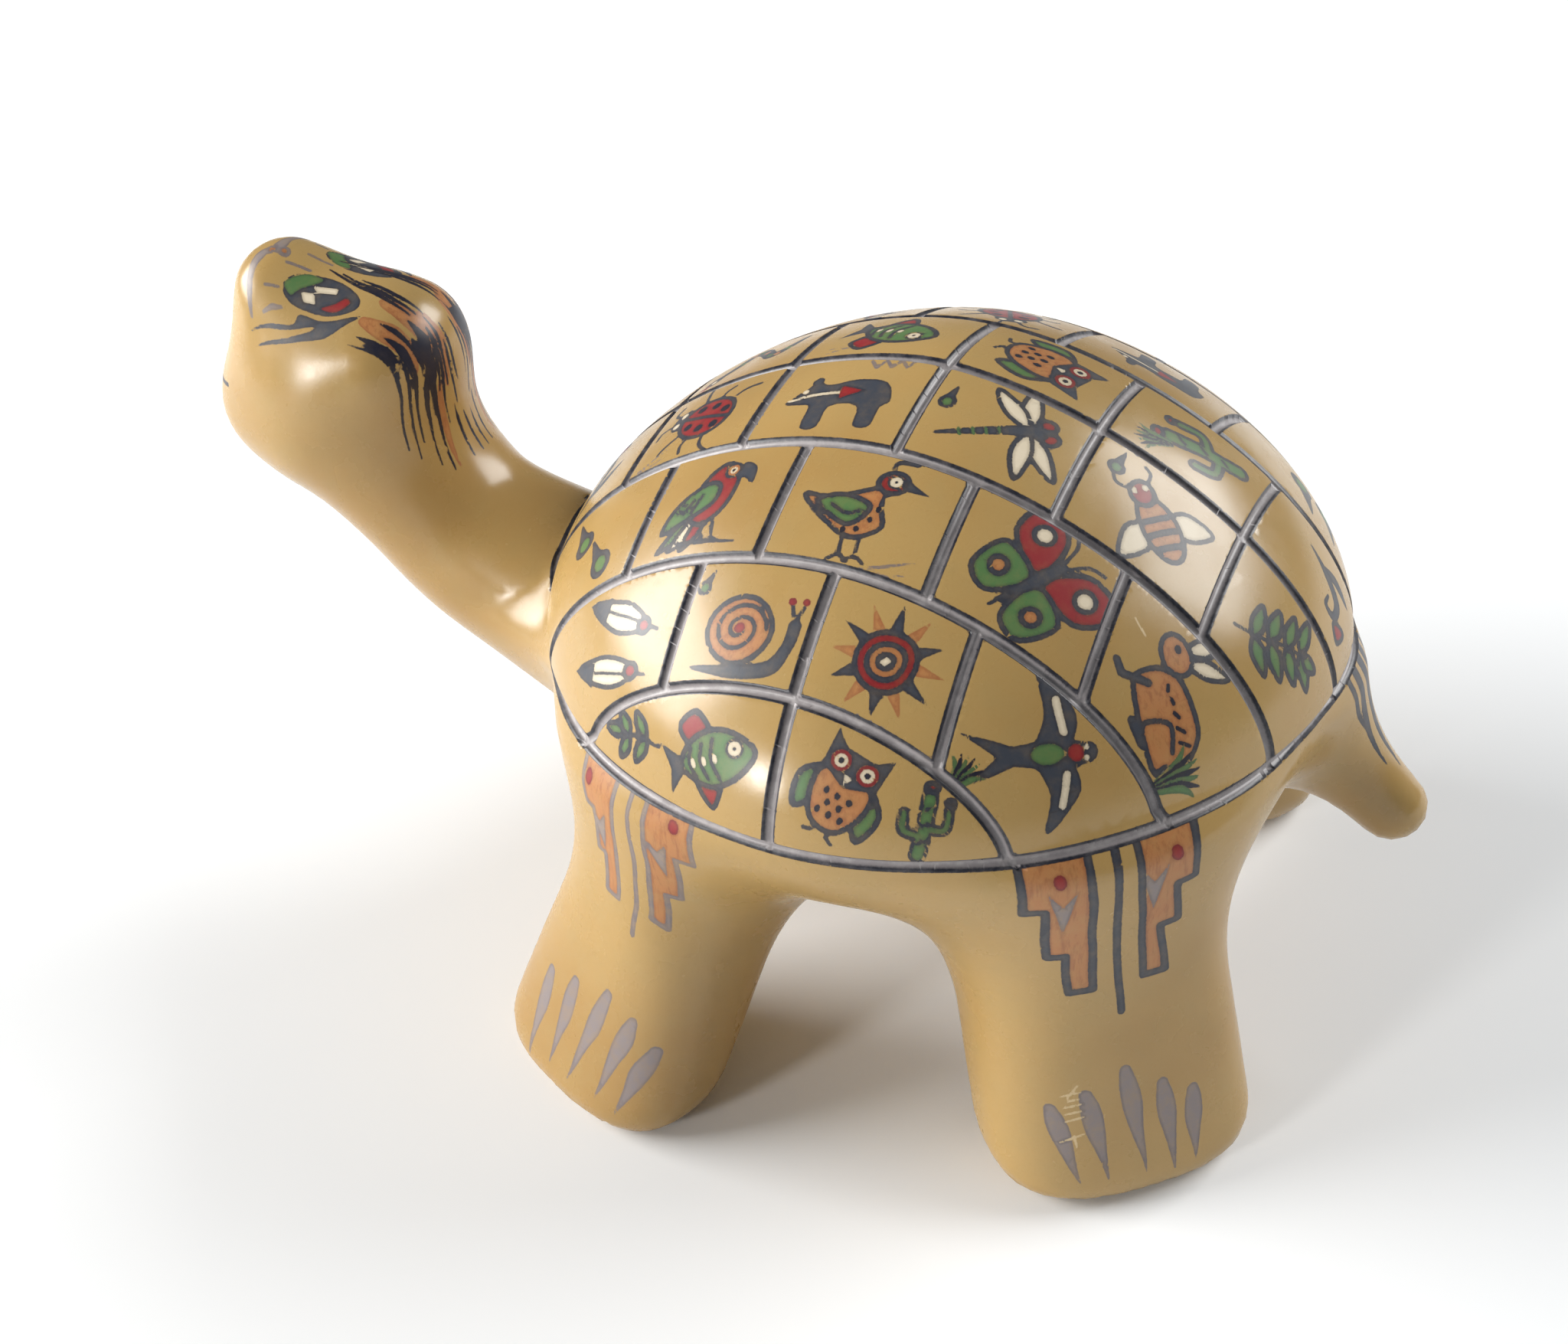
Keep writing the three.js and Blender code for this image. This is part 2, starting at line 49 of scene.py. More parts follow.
# Shell and belly
RIM_HEIGHT = 88.5
SHELL_HALF_WIDTH = 91
SHELL_HALF_LENGTH = 88
DOME_RISE = 59.5
BELLY_DROP = 41
PLAN_ROUNDNESS = 1.92
DOME_ROUNDNESS = 1.67
BELLY_ROUNDNESS = 2.15

# Legs: centre of sole and root, heading of the outer face in degrees, half width and depth
FRONT_LEG = dict(
    sole=(78, -58.3), root=(47, -29), root_height=81.5, heading=57,
    sole_half=(29, 15.7), root_half=(18, 25.5),
)
REAR_LEG = dict(
    sole=(65.2, 56.7), root=(39.7, 34.8), root_height=81.5, heading=127,
    sole_half=(29.3, 18.3), root_half=(26.1, 29.4),
)
PADDLE_ROUNDNESS = 2.5

# Neck, head and tail in the middle plane: y, z and radius
NECK = np.array([
    (-62.6, 63.4, 25.7),
    (-133.1, 88.4, 20.2),
    (-110.7, 85.5, 18.7),
    (-142.9, 116.2, 22.1),
])
NAPE = (-128, 135.4, 8.4)
NOSE = (-155.1, 146.2, 5.3)
CHIN = (-163.7, 119.9, 5.4)
HEAD_WIDENING = 1.2
TAIL_ROOT = (40.4, 108.4, 15.4)
TAIL_TIP = (100.8, 50.3, 7.7)
NECK_SAMPLES = 12

# Widths over which the clay is smoothed where two forms meet
CREASE = 2.6
LEG_FILLET = 25.5
LEG_TO_LEG_FILLET = 17.6
TAIL_FILLET = 20
NECK_FILLET = 26.4
HEAD_FILLET = 23
HEAD_TO_NECK_FILLET = 19.4
SOLE_EDGE = 10.5

# Carved lines of the shell: lanes by their distance from the middle line, and the lines
# across each strip between two lanes by their distance behind the middle
LANE_TURN = math.radians(-6.9)
LANES = [77.2, 56.8, 31.6, 4.9, -21, -47, -69.5]
CROSSINGS = [
    [3.2],
    [-25.6, 3.2, 31.7],
    [-45, -14, 21, 51.6],
    [-60, -30.4, 4.1, 36.6, 66.4],
    [-60, -31, 4.3, 36.5, 66.5],
    [-45, -14, 18.5, 52.5],
    [-26, 3, 32],
    [3],
]
LINE_HALF_WIDTH = 1.4
LINE_DEPTH = 1.25
LANE_WAY = np.array([math.cos(LANE_TURN), math.sin(LANE_TURN), 0])
ALONG_WAY = np.array([-math.sin(LANE_TURN), math.cos(LANE_TURN), 0])
RIM_STEPS = 480

# Facets of the plain skin. Those near strokes are halved, and again at the strokes' edges
SKIN_FACET = 2.8
FAR = 9.0
BRUSH = 1.15
THIN_BRUSH = 0.85
OVERLAP = 0.1
WOBBLE = 0.25


def smoothstep(x, low, high):
    t = np.clip((x - low) / (high - low), 0, 1)
    return t * t * (3 - 2 * t)


def smooth_union(a, b, width):
    overlap = np.maximum(width - np.abs(a - b), 0) / width
    return np.minimum(a, b) - overlap * overlap * width / 4


def smooth_cut(a, b, width):
    return -smooth_union(-a, -b, width)


def plan_level(x, y):
    across = np.abs(x) / SHELL_HALF_WIDTH + 1e-6
    along = np.abs(y) / SHELL_HALF_LENGTH + 1e-6
    return (across ** PLAN_ROUNDNESS + along ** PLAN_ROUNDNESS) ** (1 / PLAN_ROUNDNESS)


def body_distance(x, y, z):
    above = z > RIM_HEIGHT
    rise = np.where(above, DOME_RISE, BELLY_DROP)
    power = np.where(above, DOME_ROUNDNESS, BELLY_ROUNDNESS)
    across = np.abs(x) / SHELL_HALF_WIDTH + 1e-6
    along = np.abs(y) / SHELL_HALF_LENGTH + 1e-6
    high = np.abs(z - RIM_HEIGHT) / rise + 1e-6
    plan = plan_level(x, y)
    level = (plan ** power + high ** power) ** (1 / power)
    outward = (plan / level) ** (power - 1)
    slope_x = outward * (across / plan) ** (PLAN_ROUNDNESS - 1) / SHELL_HALF_WIDTH
    slope_y = outward * (along / plan) ** (PLAN_ROUNDNESS - 1) / SHELL_HALF_LENGTH
    slope_z = (high / level) ** (power - 1) / rise
    return (level - 1) / np.sqrt(slope_x ** 2 + slope_y ** 2 + slope_z ** 2)


def cone_distance(x, y, z, start, end):
    """Distance to a cone with ball ends in the middle plane"""
    dy, dz = end[0] - start[0], end[1] - start[1]
    t = np.clip(((y - start[0]) * dy + (z - start[1]) * dz) / (dy * dy + dz * dz), 0, 1)
    radius = start[2] + (end[2] - start[2]) * t
    return np.sqrt(x * x + (y - start[0] - t * dy) ** 2 + (z - start[1] - t * dz) ** 2) - radius


def leg_distance(x, y, z, leg):
    bottom = np.array([*leg["sole"], 0.0])
    up = np.array([*leg["root"], leg["root_height"]]) - bottom
    length = np.linalg.norm(up)
    up /= length
    heading = math.radians(leg["heading"])
    out = np.array([math.sin(heading), -math.cos(heading), 0.0])
    out -= up * (out @ up)
    out /= np.linalg.norm(out)
    side = np.cross(up, out)
    arm = np.stack([x, y, z], -1) - bottom
    height = arm @ up
    t = smoothstep(height, 0, length)
    half_width = leg["sole_half"][0] + (leg["root_half"][0] - leg["sole_half"][0]) * t
    half_depth = leg["sole_half"][1] + (leg["root_half"][1] - leg["sole_half"][1]) * t
    u = np.abs(arm @ side) / half_width + 1e-6
    v = np.abs(arm @ out) / half_depth + 1e-6
    level = (u ** PADDLE_ROUNDNESS + v ** PADDLE_ROUNDNESS) ** (1 / PADDLE_ROUNDNESS)
    slope_u = (u / level) ** (PADDLE_ROUNDNESS - 1) / half_width
    slope_v = (v / level) ** (PADDLE_ROUNDNESS - 1) / half_depth
    paddle = (level - 1) / np.sqrt(slope_u ** 2 + slope_v ** 2)
    return smooth_cut(paddle, height - length, LEG_TO_LEG_FILLET)


def neck_at(t, order=0):
    """Centre and radius of the neck, or their first or second change, at a share of it"""
    s = 1 - t
    weights = [
        (s ** 3, 3 * s * s * t, 3 * s * t * t, t ** 3),
        (-3 * s * s, 3 * s * s - 6 * s * t, 6 * s * t - 3 * t * t, 3 * t * t),
        (6 * s, 6 * t - 12 * s, 6 * s - 12 * t, 6 * t),
    ][order]
    return [sum(w * point[k] for w, point in zip(weights, NECK)) for k in range(3)]


def neck_distance(x, y, z):
    shares = np.linspace(0, 1, NECK_SAMPLES + 1)
    reach = []
    for share in shares:
        cy, cz, radius = neck_at(share)
        reach.append(np.sqrt(x * x + (y - cy) ** 2 + (z - cz) ** 2) - radius)
    t = shares[np.argmin(reach, 0)]
    for _ in range(3):
        cy, cz, _ = neck_at(t)
        vy, vz, radius_change = neck_at(t, 1)
        ay, az, radius_bend = neck_at(t, 2)
        gap = np.sqrt(x * x + (y - cy) ** 2 + (z - cz) ** 2) + 1e-6
        towards = ((y - cy) * vy + (z - cz) * vz) / gap
        turn = (vy * vy + vz * vz - towards * towards) / gap
        bend = turn - ((y - cy) * ay + (z - cz) * az) / gap - radius_bend
        limit = 0.6 / NECK_SAMPLES
        move = np.clip((towards + radius_change) / np.maximum(bend, 1), -limit, limit)
        t = np.clip(t + move, 0, 1)
    cy, cz, radius = neck_at(t)
    return np.sqrt(x * x + (y - cy) ** 2 + (z - cz) ** 2) - radius


def head_distance(x, y, z):
    narrow = x / HEAD_WIDENING
    head = cone_distance(narrow, y, z, NAPE, NOSE)
    head = smooth_union(head, cone_distance(narrow, y, z, NOSE, CHIN), HEAD_FILLET)
    return smooth_union(head, cone_distance(narrow, y, z, CHIN, NAPE), HEAD_FILLET)


def clay(points):
    """Distance to the whole clay form, below zero inside it"""
    x, y, z = points.T
    side = np.abs(x)
    below = RIM_HEIGHT - z
    limb_blend = smoothstep(below, -8, 6)
    neck_blend = smoothstep(below, -3.5, 12.3)
    front = leg_distance(side, y, z, FRONT_LEG)
    rear = leg_distance(side, y, z, REAR_LEG)
    form = body_distance(x, y, z)
    legs = smooth_union(front, rear, LEG_TO_LEG_FILLET)
    form = smooth_union(form, legs, CREASE + LEG_FILLET * limb_blend)
    form = smooth_union(form, neck_distance(x, y, z), CREASE + NECK_FILLET * neck_blend)
    tail = cone_distance(x, y, z, TAIL_ROOT, TAIL_TIP)
    form = smooth_union(form, tail, CREASE + TAIL_FILLET * limb_blend)
    form = smooth_union(form, head_distance(x, y, z), HEAD_TO_NECK_FILLET)
    return smooth_cut(form, -z, SOLE_EDGE)


def slope(points):
    """Gradient of the clay's distance, from the four corners of a small tetrahedron"""
    corners = np.array([(1, -1, -1), (-1, -1, 1), (-1, 1, -1), (1, 1, 1)], float)
    step = 0.05
    return sum(clay(points + step * c)[:, None] * c for c in corners) / (4 * step)


def settle(points, passes=3):
    """Points moved onto the clay, and the outward normals there"""
    points = np.array(points, float)
    for _ in range(passes):
        way = slope(points)
        steep = np.maximum((way ** 2).sum(-1), 0.1)
        move = np.clip(clay(points) / steep, -4, 4)
        points -= way * move[:, None]
    normals = slope(points)
    return points, normals / np.linalg.norm(normals, axis=1)[:, None]


def dome_point(across, along):
    """Point of the dome over its plan, from its places across the lanes and along them"""
    x, y, _ = across * LANE_WAY + along * ALONG_WAY
    level = min(float(plan_level(x, y)), 1.0)
    rise = DOME_RISE * (1 - level ** DOME_ROUNDNESS) ** (1 / DOME_ROUNDNESS)
    return np.array([x, y, RIM_HEIGHT + rise])


def rim_reach(across, way):
    """How far the plan of the shell runs along a lane, to the front (-1) or the rear (1)"""
    inner, outer = 0.0, 2.0 * SHELL_HALF_WIDTH
    for _ in range(30):
        middle = (inner + outer) / 2
        x, y, _ = across * LANE_WAY + way * middle * ALONG_WAY
        if plan_level(x, y) < 1:
            inner = middle
        else:
            outer = middle
    return way * inner


def rim_line():
    angles = np.linspace(0, 2 * math.pi, RIM_STEPS, endpoint=False)
    ways = np.stack([np.cos(angles), np.sin(angles), 0 * angles], -1)
    reach = 1 / plan_level(ways[:, 0], ways[:, 1])
    points, _ = settle(ways * reach[:, None] + UP * RIM_HEIGHT, 5)
    return points


RIM_LINE = rim_line()


def nearer(best, distance, way, where):
    """Keep, for each point, the nearest carved line and the way straight away from it"""
    closer = distance < best[0][where]
    index = where[closer]
    best[0][index] = distance[closer]
    best[1][index] = way[closer]


def carved_lines(points, normals):
    """Distance along the surface to the nearest carved line, and the way away from it"""
    best = (np.full(len(points), FAR), np.zeros((len(points), 3)))
    level = plan_level(points[:, 0], points[:, 1])
    shell = np.where((points[:, 2] > RIM_HEIGHT - 1) & (level < 1.02))[0]
    across = points[shell] @ LANE_WAY
    along = points[shell] @ ALONG_WAY
    edges = [200, *LANES, -200]

    def add(offset, direction, within):
        index = shell[within]
        tilt = normals[index] @ direction
        scale = 1 / np.sqrt(np.maximum(1 - tilt ** 2, 0.05))
        offset = offset[within]
        way = (direction - tilt[:, None] * normals[index]) * (scale * np.sign(offset))[:, None]
        nearer(best, np.abs(offset) * scale, way, index)

    for lane in LANES:
        add(across - lane, LANE_WAY, np.abs(across - lane) < 5)
    for strip, places in enumerate(CROSSINGS):
        inside = (across < edges[strip]) & (across > edges[strip + 1])
        for place in places:
            add(along - place, ALONG_WAY, inside & (np.abs(along - place) < 5))

    band = np.where((np.abs(points[:, 2] - RIM_HEIGHT) < 9) & (level > 0.92) & (level < 1.08))[0]
    if len(band):
        gaps = ((points[band, None, :] - RIM_LINE[None]) ** 2).sum(-1)
        closest = gaps.argmin(1)
        tangents = np.roll(RIM_LINE, -1, 0) - np.roll(RIM_LINE, 1, 0)
        tangents /= np.linalg.norm(tangents, axis=1)[:, None]
        arm = points[band] - RIM_LINE[closest]
        arm -= (arm * tangents[closest]).sum(-1)[:, None] * tangents[closest]
        distance = np.linalg.norm(arm, axis=1)
        nearer(best, distance, arm / np.maximum(distance, 1e-6)[:, None], band)
    return best


def carve(points, normals, lines):
    """Sink the surface along the carved lines, and tilt its normals with their walls"""
    distance, way = lines
    share = np.clip(1 - (distance / LINE_HALF_WIDTH) ** 2, 0, 1)
    depth = LINE_DEPTH * share ** 1.5
    fall = -3 * LINE_DEPTH * np.sqrt(share) * distance / LINE_HALF_WIDTH ** 2
    tilted = normals + fall[:, None] * way
    return points - depth[:, None] * normals, tilted / np.linalg.norm(tilted, axis=1)[:, None]


def line_up(points, normals):
    """Points in a carved line slide to its middle, its edge or halfway, so that it runs even"""
    distance, way = carved_lines(points, normals)
    step = LINE_HALF_WIDTH / 2
    move = np.where(distance < 2.5 * step, np.round(distance / step) * step - distance, 0)
    return settle(points + move[:, None] * way, 2)


def wave(points, length, turn):
    """A smooth wander between -1 and 1 over the surface, of a length in millimetres"""
    x, y, z = (points / length * 2 * math.pi).T
    first = np.sin(x + 1.7 * np.sin(0.6 * y + turn) + turn)
    second = np.sin(1.3 * y + 1.3 * np.sin(0.8 * z - turn) + 2 * turn)
    third = np.sin(1.1 * z + 1.5 * np.sin(0.7 * x + 3 * turn))
    return (first + second + third) / 3


# Strokes and fills, in the plane of a picture

def bend(points, closed=False, steps=5):
    """A smooth curve through points"""
    points = np.array(points, float)
    if closed:
        padded = np.concatenate([points[-1:], points, points[:2]])
    else:
        padded = np.concatenate([points[:1], points, points[-1:]])
    curve = []
    for a, b, c, d in zip(padded, padded[1:], padded[2:], padded[3:]):
        for t in np.arange(steps) / steps:
            cubic = (3 * b - a - 3 * c + d) * t + (2 * a - 5 * b + 4 * c - d)
            curve.append(b + 0.5 * t * ((c - a) + t * cubic))
    if not closed:
        curve.append(points[-1])
    return np.array(curve)


def path_distance(points, path, widths):
    """Distance to a stroke along a path, whose width may change from point to point"""
    widths = np.interp(
        np.linspace(0, 1, len(path)), np.linspace(0, 1, len(np.atleast_1d(widths))),
        np.atleast_1d(widths),
    )
    best = np.full(len(points), 1e9)
    for a, b, start, end in zip(path, path[1:], widths, widths[1:]):
        side = b - a
        t = np.clip((points - a) @ side / max(side @ side, 1e-9), 0, 1)
        gap = np.linalg.norm(points - a - t[:, None] * side, axis=1)
        best = np.minimum(best, gap - (start + (end - start) * t) / 2)
    return best


def outline_distance(points, outline):
    """Distance to a closed outline, below zero inside it"""
    inside = np.zeros(len(points), bool)
    best = np.full(len(points), 1e9)
    for a, b in zip(outline, np.roll(outline, -1, 0)):
        side = b - a
        t = np.clip((points - a) @ side / max(side @ side, 1e-9), 0, 1)
        best = np.minimum(best, np.linalg.norm(points - a - t[:, None] * side, axis=1))
        if a[1] != b[1]:
            between = (a[1] > points[:, 1]) != (b[1] > points[:, 1])
            cross = a[0] + (points[:, 1] - a[1]) / (b[1] - a[1]) * (b[0] - a[0])
            inside ^= between & (points[:, 0] < cross)
    return np.where(inside, -best, best)


COLOURS = ["rust", "red", "green", "grey", "slate", "cream", "ink", "scratch"]


class Paint:
    """For each colour, the distance of every point of the skin to its painted edge"""

    def __init__(self, points, normals):
        self.points = points
        self.normals = normals
        self.edge = {colour: np.full(len(points), FAR) for colour in COLOURS}
        wander = [wave(points, 14, turn) for turn in (0.4, 2.1, 3.6)]
        self.hand = points + WOBBLE * np.stack(wander, -1)

    def lay(self, colour, where, distance):
        for other, edge in self.edge.items():
            if other == colour:
                edge[where] = np.minimum(edge[where], distance)
            else:
                edge[where] = np.maximum(edge[where], -distance - OVERLAP)

    def trail(self, colour, path, widths):
        """A stroke that follows the clay through points in space"""
        path, _ = settle(bend(path, steps=4), 4)
        middle = path.mean(0)
        reach = np.linalg.norm(path - middle, axis=1).max() + 2 * np.max(widths) + 2
        where = np.where(((self.hand - middle) ** 2).sum(1) < reach ** 2)[0]
        if len(where):
            self.lay(colour, where, path_distance(self.hand[where], path, widths))


class Picture:
    """A flat frame set against the clay, in which strokes are laid, x right and y up"""

    def __init__(self, paint, where, at, scale=1.0):
        self.paint = paint
        self.where = where
        self.at = at
        self.scale = scale

    def turned(self, place, scale, degrees=0, mirror=1):
        """The same frame for a drawing with its own place, scale, turn and hand"""
        angle = math.radians(degrees)
        arm = self.at - np.array(place)
        x = arm[:, 0] * math.cos(angle) + arm[:, 1] * math.sin(angle)
        y = arm[:, 1] * math.cos(angle) - arm[:, 0] * math.sin(angle)
        at = np.stack([x * mirror, y], -1) / scale
        near = np.abs(at).max(1) < DRAWING_REACH
        return Picture(self.paint, self.where[near], at[near], self.scale * scale)

    def lay(self, colour, distance):
        self.paint.lay(colour, self.where, distance * self.scale)

    def fill(self, colour, outline, rim=None):
        outline = np.array(outline, float)
        self.lay(colour, outline_distance(self.at, outline))
        if rim:
            self.stroke(rim, np.concatenate([outline, outline[:1]]))

    def stroke(self, colour, path, widths=None):
        """A line of the brush's width, or of widths in the drawing's own unit"""
        if widths is None:
            widths = BRUSH / self.scale
        elif np.ndim(widths) == 0:
            widths = max(widths, THIN_BRUSH / self.scale)
        self.lay(colour, path_distance(self.at, np.array(path, float), widths))

    def oval(self, colour, centre, radii, degrees=0, rim=None):
        turn = np.linspace(0, 2 * math.pi, 20, endpoint=False)
        angle = math.radians(degrees)
        x, y = radii[0] * np.cos(turn), radii[1] * np.sin(turn)
        points = np.stack([
            centre[0] + x * math.cos(angle) - y * math.sin(angle),
            centre[1] + x * math.sin(angle) + y * math.cos(angle),
        ], -1)
        self.fill(colour, points, rim)

    def eye(self, centre, radius, iris="red"):
        self.oval("slate", centre, (1.4 * radius, 1.4 * radius))
        self.oval(iris, centre, (radius, radius))
        self.oval("cream", centre, (0.6 * radius, 0.6 * radius))
        self.oval("ink", centre, (0.28 * radius, 0.28 * radius))

    def leaf(self, base, tip, width, colour="green", rim="slate"):
        base, tip = np.array(base, float), np.array(tip, float)
        side = np.array([base[1] - tip[1], tip[0] - base[0]])
        side *= width / np.linalg.norm(side)
        low, high = base + 0.35 * (tip - base), base + 0.72 * (tip - base)
        points = [base, low + side, high + 0.75 * side, tip, high - 0.75 * side, low - side]
        self.fill(colour, bend(points, closed=True, steps=3), rim)


def picture_on(paint, centre, right, up, facing, reach):
    """A picture's frame round a point of the clay, facing one way"""
    arm = paint.hand - centre
    near = ((arm ** 2).sum(1) < reach ** 2) & (paint.normals @ facing > 0.15)
    where = np.where(near)[0]
    return Picture(paint, where, np.stack([arm[where] @ right, arm[where] @ up], -1))


# The creatures and plants of the panels, each about 2 wide and 2 high

def parrot(draw):
    for step, colour in enumerate(("green", "cream", "red")):
        draw.leaf((-0.1 + 0.1 * step, -0.3), (-0.75 + 0.24 * step, -1.02 + 0.02 * step), 0.11, colour)
    body = [(0.1, 0.72), (-0.2, 0.5), (-0.36, 0.05), (-0.28, -0.4), (0.05, -0.5), (0.34, -0.15), (0.4, 0.4)]
    draw.fill("red", bend(body, True), "slate")
    wing = [(-0.2, 0.3), (-0.62, -0.1), (-0.8, -0.66), (-0.3, -0.4), (0.06, -0.1), (0.08, 0.25)]
    draw.fill("green", bend(wing, True), "slate")
    for step in range(3):
        draw.stroke("slate", [(-0.2 - 0.14 * step, 0.08 - 0.1 * step), (-0.3 - 0.14 * step, -0.3)], 0.06)
    draw.fill("slate", bend([(0.36, 0.72), (0.66, 0.62), (0.7, 0.3), (0.52, 0.4), (0.38, 0.42)], True))
    draw.eye((0.2, 0.56), 0.12, "rust")
    for x in (0.02, 0.24):
        draw.stroke("slate", [(x, -0.48), (x + 0.06, -0.74), (x + 0.2, -0.8)], 0.07)
    draw.stroke("slate", bend([(-0.5, -0.84), (0.1, -0.82), (0.8, -0.78)]), [0.04, 0.1, 0.04])


def lizard(draw):
    for side in (1, -1):
        draw.stroke("slate", bend([(0.1 * side, 0.38), (0.42 * side, 0.46), (0.5 * side, 0.72)]), 0.1)
        draw.stroke("slate", bend([(0.08 * side, -0.2), (0.42 * side, -0.2), (0.5 * side, -0.46)]), 0.1)
        for spread in (-0.14, 0, 0.14):
            foot = 0.5 * side + spread
            draw.stroke("slate", [(0.5 * side, 0.7), (foot, 0.9)], 0.05)
            draw.stroke("slate", [(0.5 * side, -0.44), (foot, -0.64)], 0.05)
    spine = [(0, 0.86), (0, 0.62), (0, 0.3), (0.03, -0.1), (0, -0.4), (-0.22, -0.72), (0.12, -0.98)]
    draw.stroke("slate", bend(spine), [0.2, 0.36, 0.38, 0.42, 0.22, 0.12, 0.05])
    draw.stroke("green", bend([(0, 0.36), (0.02, 0.1), (0.02, -0.2)]), [0.12, 0.24, 0.12])
    for step in range(3):
        draw.oval("cream", (0.01, 0.28 - 0.2 * step), (0.05, 0.05))
    for side in (1, -1):
        draw.oval("red", (0.09 * side, 0.74), (0.06, 0.07))


def butterfly(draw):
    for side in (1, -1):
        upper = [(0.05 * side, 0.1), (0.3 * side, 0.78), (0.95 * side, 0.86), (0.8 * side, 0.2)]
        lower = [(0.05 * side, 0), (0.72 * side, 0), (0.66 * side, -0.6), (0.22 * side, -0.66)]
        draw.fill("red", bend(upper, True), "slate")
        draw.fill("green", bend(lower, True), "slate")
        draw.oval("cream", (0.56 * side, 0.52), (0.15, 0.15), 0, "slate")
        draw.oval("rust", (0.44 * side, -0.3), (0.13, 0.13), 0, "slate")
        draw.stroke("slate", bend([(0.04 * side, 0.5), (0.16 * side, 0.84), (0.36 * side, 0.98)]), 0.06)
    draw.stroke("slate", [(0, 0.5), (0, 0.1), (0, -0.74)], [0.18, 0.22, 0.05])


def dragonfly(draw):
    for side in (1, -1):
        for tip in ((0.98, 0.7), (0.95, 0.08)):
            draw.leaf((0.05 * side, 0.42), (tip[0] * side, tip[1]), 0.15, "cream")
    draw.stroke("slate", [(0, 0.6), (0, 0.3), (0, -0.2), (0, -1)], [0.28, 0.22, 0.18, 0.08])
    for step in range(4):
        draw.stroke("green", [(-0.06, -0.02 - 0.21 * step), (0.06, -0.02 - 0.21 * step)], 0.07)
    for side in (1, -1):
        draw.oval("red", (0.15 * side, 0.76), (0.12, 0.15), 20 * side, "slate")


def rabbit(draw):
    back = [(-0.8, -0.5), (-0.9, -0.05), (-0.5, 0.28), (0.05, 0.22), (0.34, 0.1), (0.48, -0.2), (0.3, -0.52)]
    draw.fill("rust", bend(back, True), "slate")
    draw.leaf((0.4, 0.36), (0.08, 0.94), 0.11, "cream")
    draw.leaf((0.54, 0.4), (0.5, 1.0), 0.11, "cream")
    draw.oval("rust", (0.54, 0.24), (0.28, 0.22), -15, "slate")
    draw.stroke("slate", bend([(-0.66, -0.16), (-0.3, -0.12), (-0.2, -0.5), (-0.48, -0.56)]), 0.08)
    draw.stroke("slate", [(0.3, -0.3), (0.5, -0.62), (0.68, -0.62)], 0.12)
    draw.stroke("slate", [(-0.46, -0.58), (-0.12, -0.64)], 0.14)
    draw.oval("cream", (-0.94, -0.3), (0.12, 0.12), 0, "slate")
    draw.oval("ink", (0.6, 0.29), (0.06, 0.06))
    for step in range(5):
        draw.stroke("ink", [(-0.62 + 0.19 * step, 0.12 - 0.04 * step), (-0.55 + 0.19 * step, -0.02)], 0.05)


def round_fish(draw):
    draw.fill("slate", [(-0.42, 0), (-1, 0.46), (-0.84, 0), (-1, -0.46)])
    body = [(0.95, -0.02), (0.45, 0.44), (-0.15, 0.44), (-0.6, 0), (-0.15, -0.42), (0.45, -0.42)]
    draw.fill("red", bend([(0.15, 0.4), (-0.1, 0.86), (-0.5, 0.66), (-0.3, 0.3)], True), "slate")
    draw.fill("red", bend([(0.15, -0.4), (-0.15, -0.8), (-0.35, -0.3)], True), "slate")
    draw.fill("green", bend(body, True), "slate")
    for step in range(3):
        x = 0.16 - 0.24 * step
        draw.stroke("slate", bend([(x, 0.34 - 0.04 * step), (x - 0.1, 0), (x, -0.34 + 0.04 * step)]), 0.08)
        draw.oval("cream", (x - 0.02, 0), (0.05, 0.09))
    draw.eye((0.56, 0.1), 0.13, "cream")


def owl(draw):
    body = [(-0.45, 0.3), (-0.54, -0.2), (-0.27, -0.74), (0.27, -0.74), (0.54, -0.2), (0.45, 0.3)]
    for side in (1, -1):
        wing = [(0.4 * side, 0.3), (0.82 * side, -0.05), (0.68 * side, -0.7), (0.4 * side, -0.3)]
        draw.fill("green", bend(wing, True), "slate")
        draw.stroke("slate", [(0.16 * side, -0.72), (0.16 * side, -0.92), (0.3 * side, -0.98)], 0.08)
    draw.fill("rust", bend(body, True), "slate")
    for row in range(3):
        for step in range(3 - row % 2):
            x = (step - 1 + 0.5 * (row % 2)) * 0.24
            draw.oval("ink", (x, -0.1 - 0.2 * row), (0.06, 0.08))
    crown = [(-0.6, 0.98), (-0.3, 0.76), (0.3, 0.76), (0.6, 0.98), (0.58, 0.3), (0, 0.08), (-0.58, 0.3)]
    draw.fill("slate", crown)
    for side in (1, -1):
        draw.oval("red", (0.28 * side, 0.5), (0.21, 0.21))
        draw.oval("cream", (0.28 * side, 0.5), (0.13, 0.13))
        draw.oval("ink", (0.28 * side, 0.5), (0.06, 0.06))
    draw.fill("cream", [(-0.09, 0.32), (0.09, 0.32), (0, 0.12)])


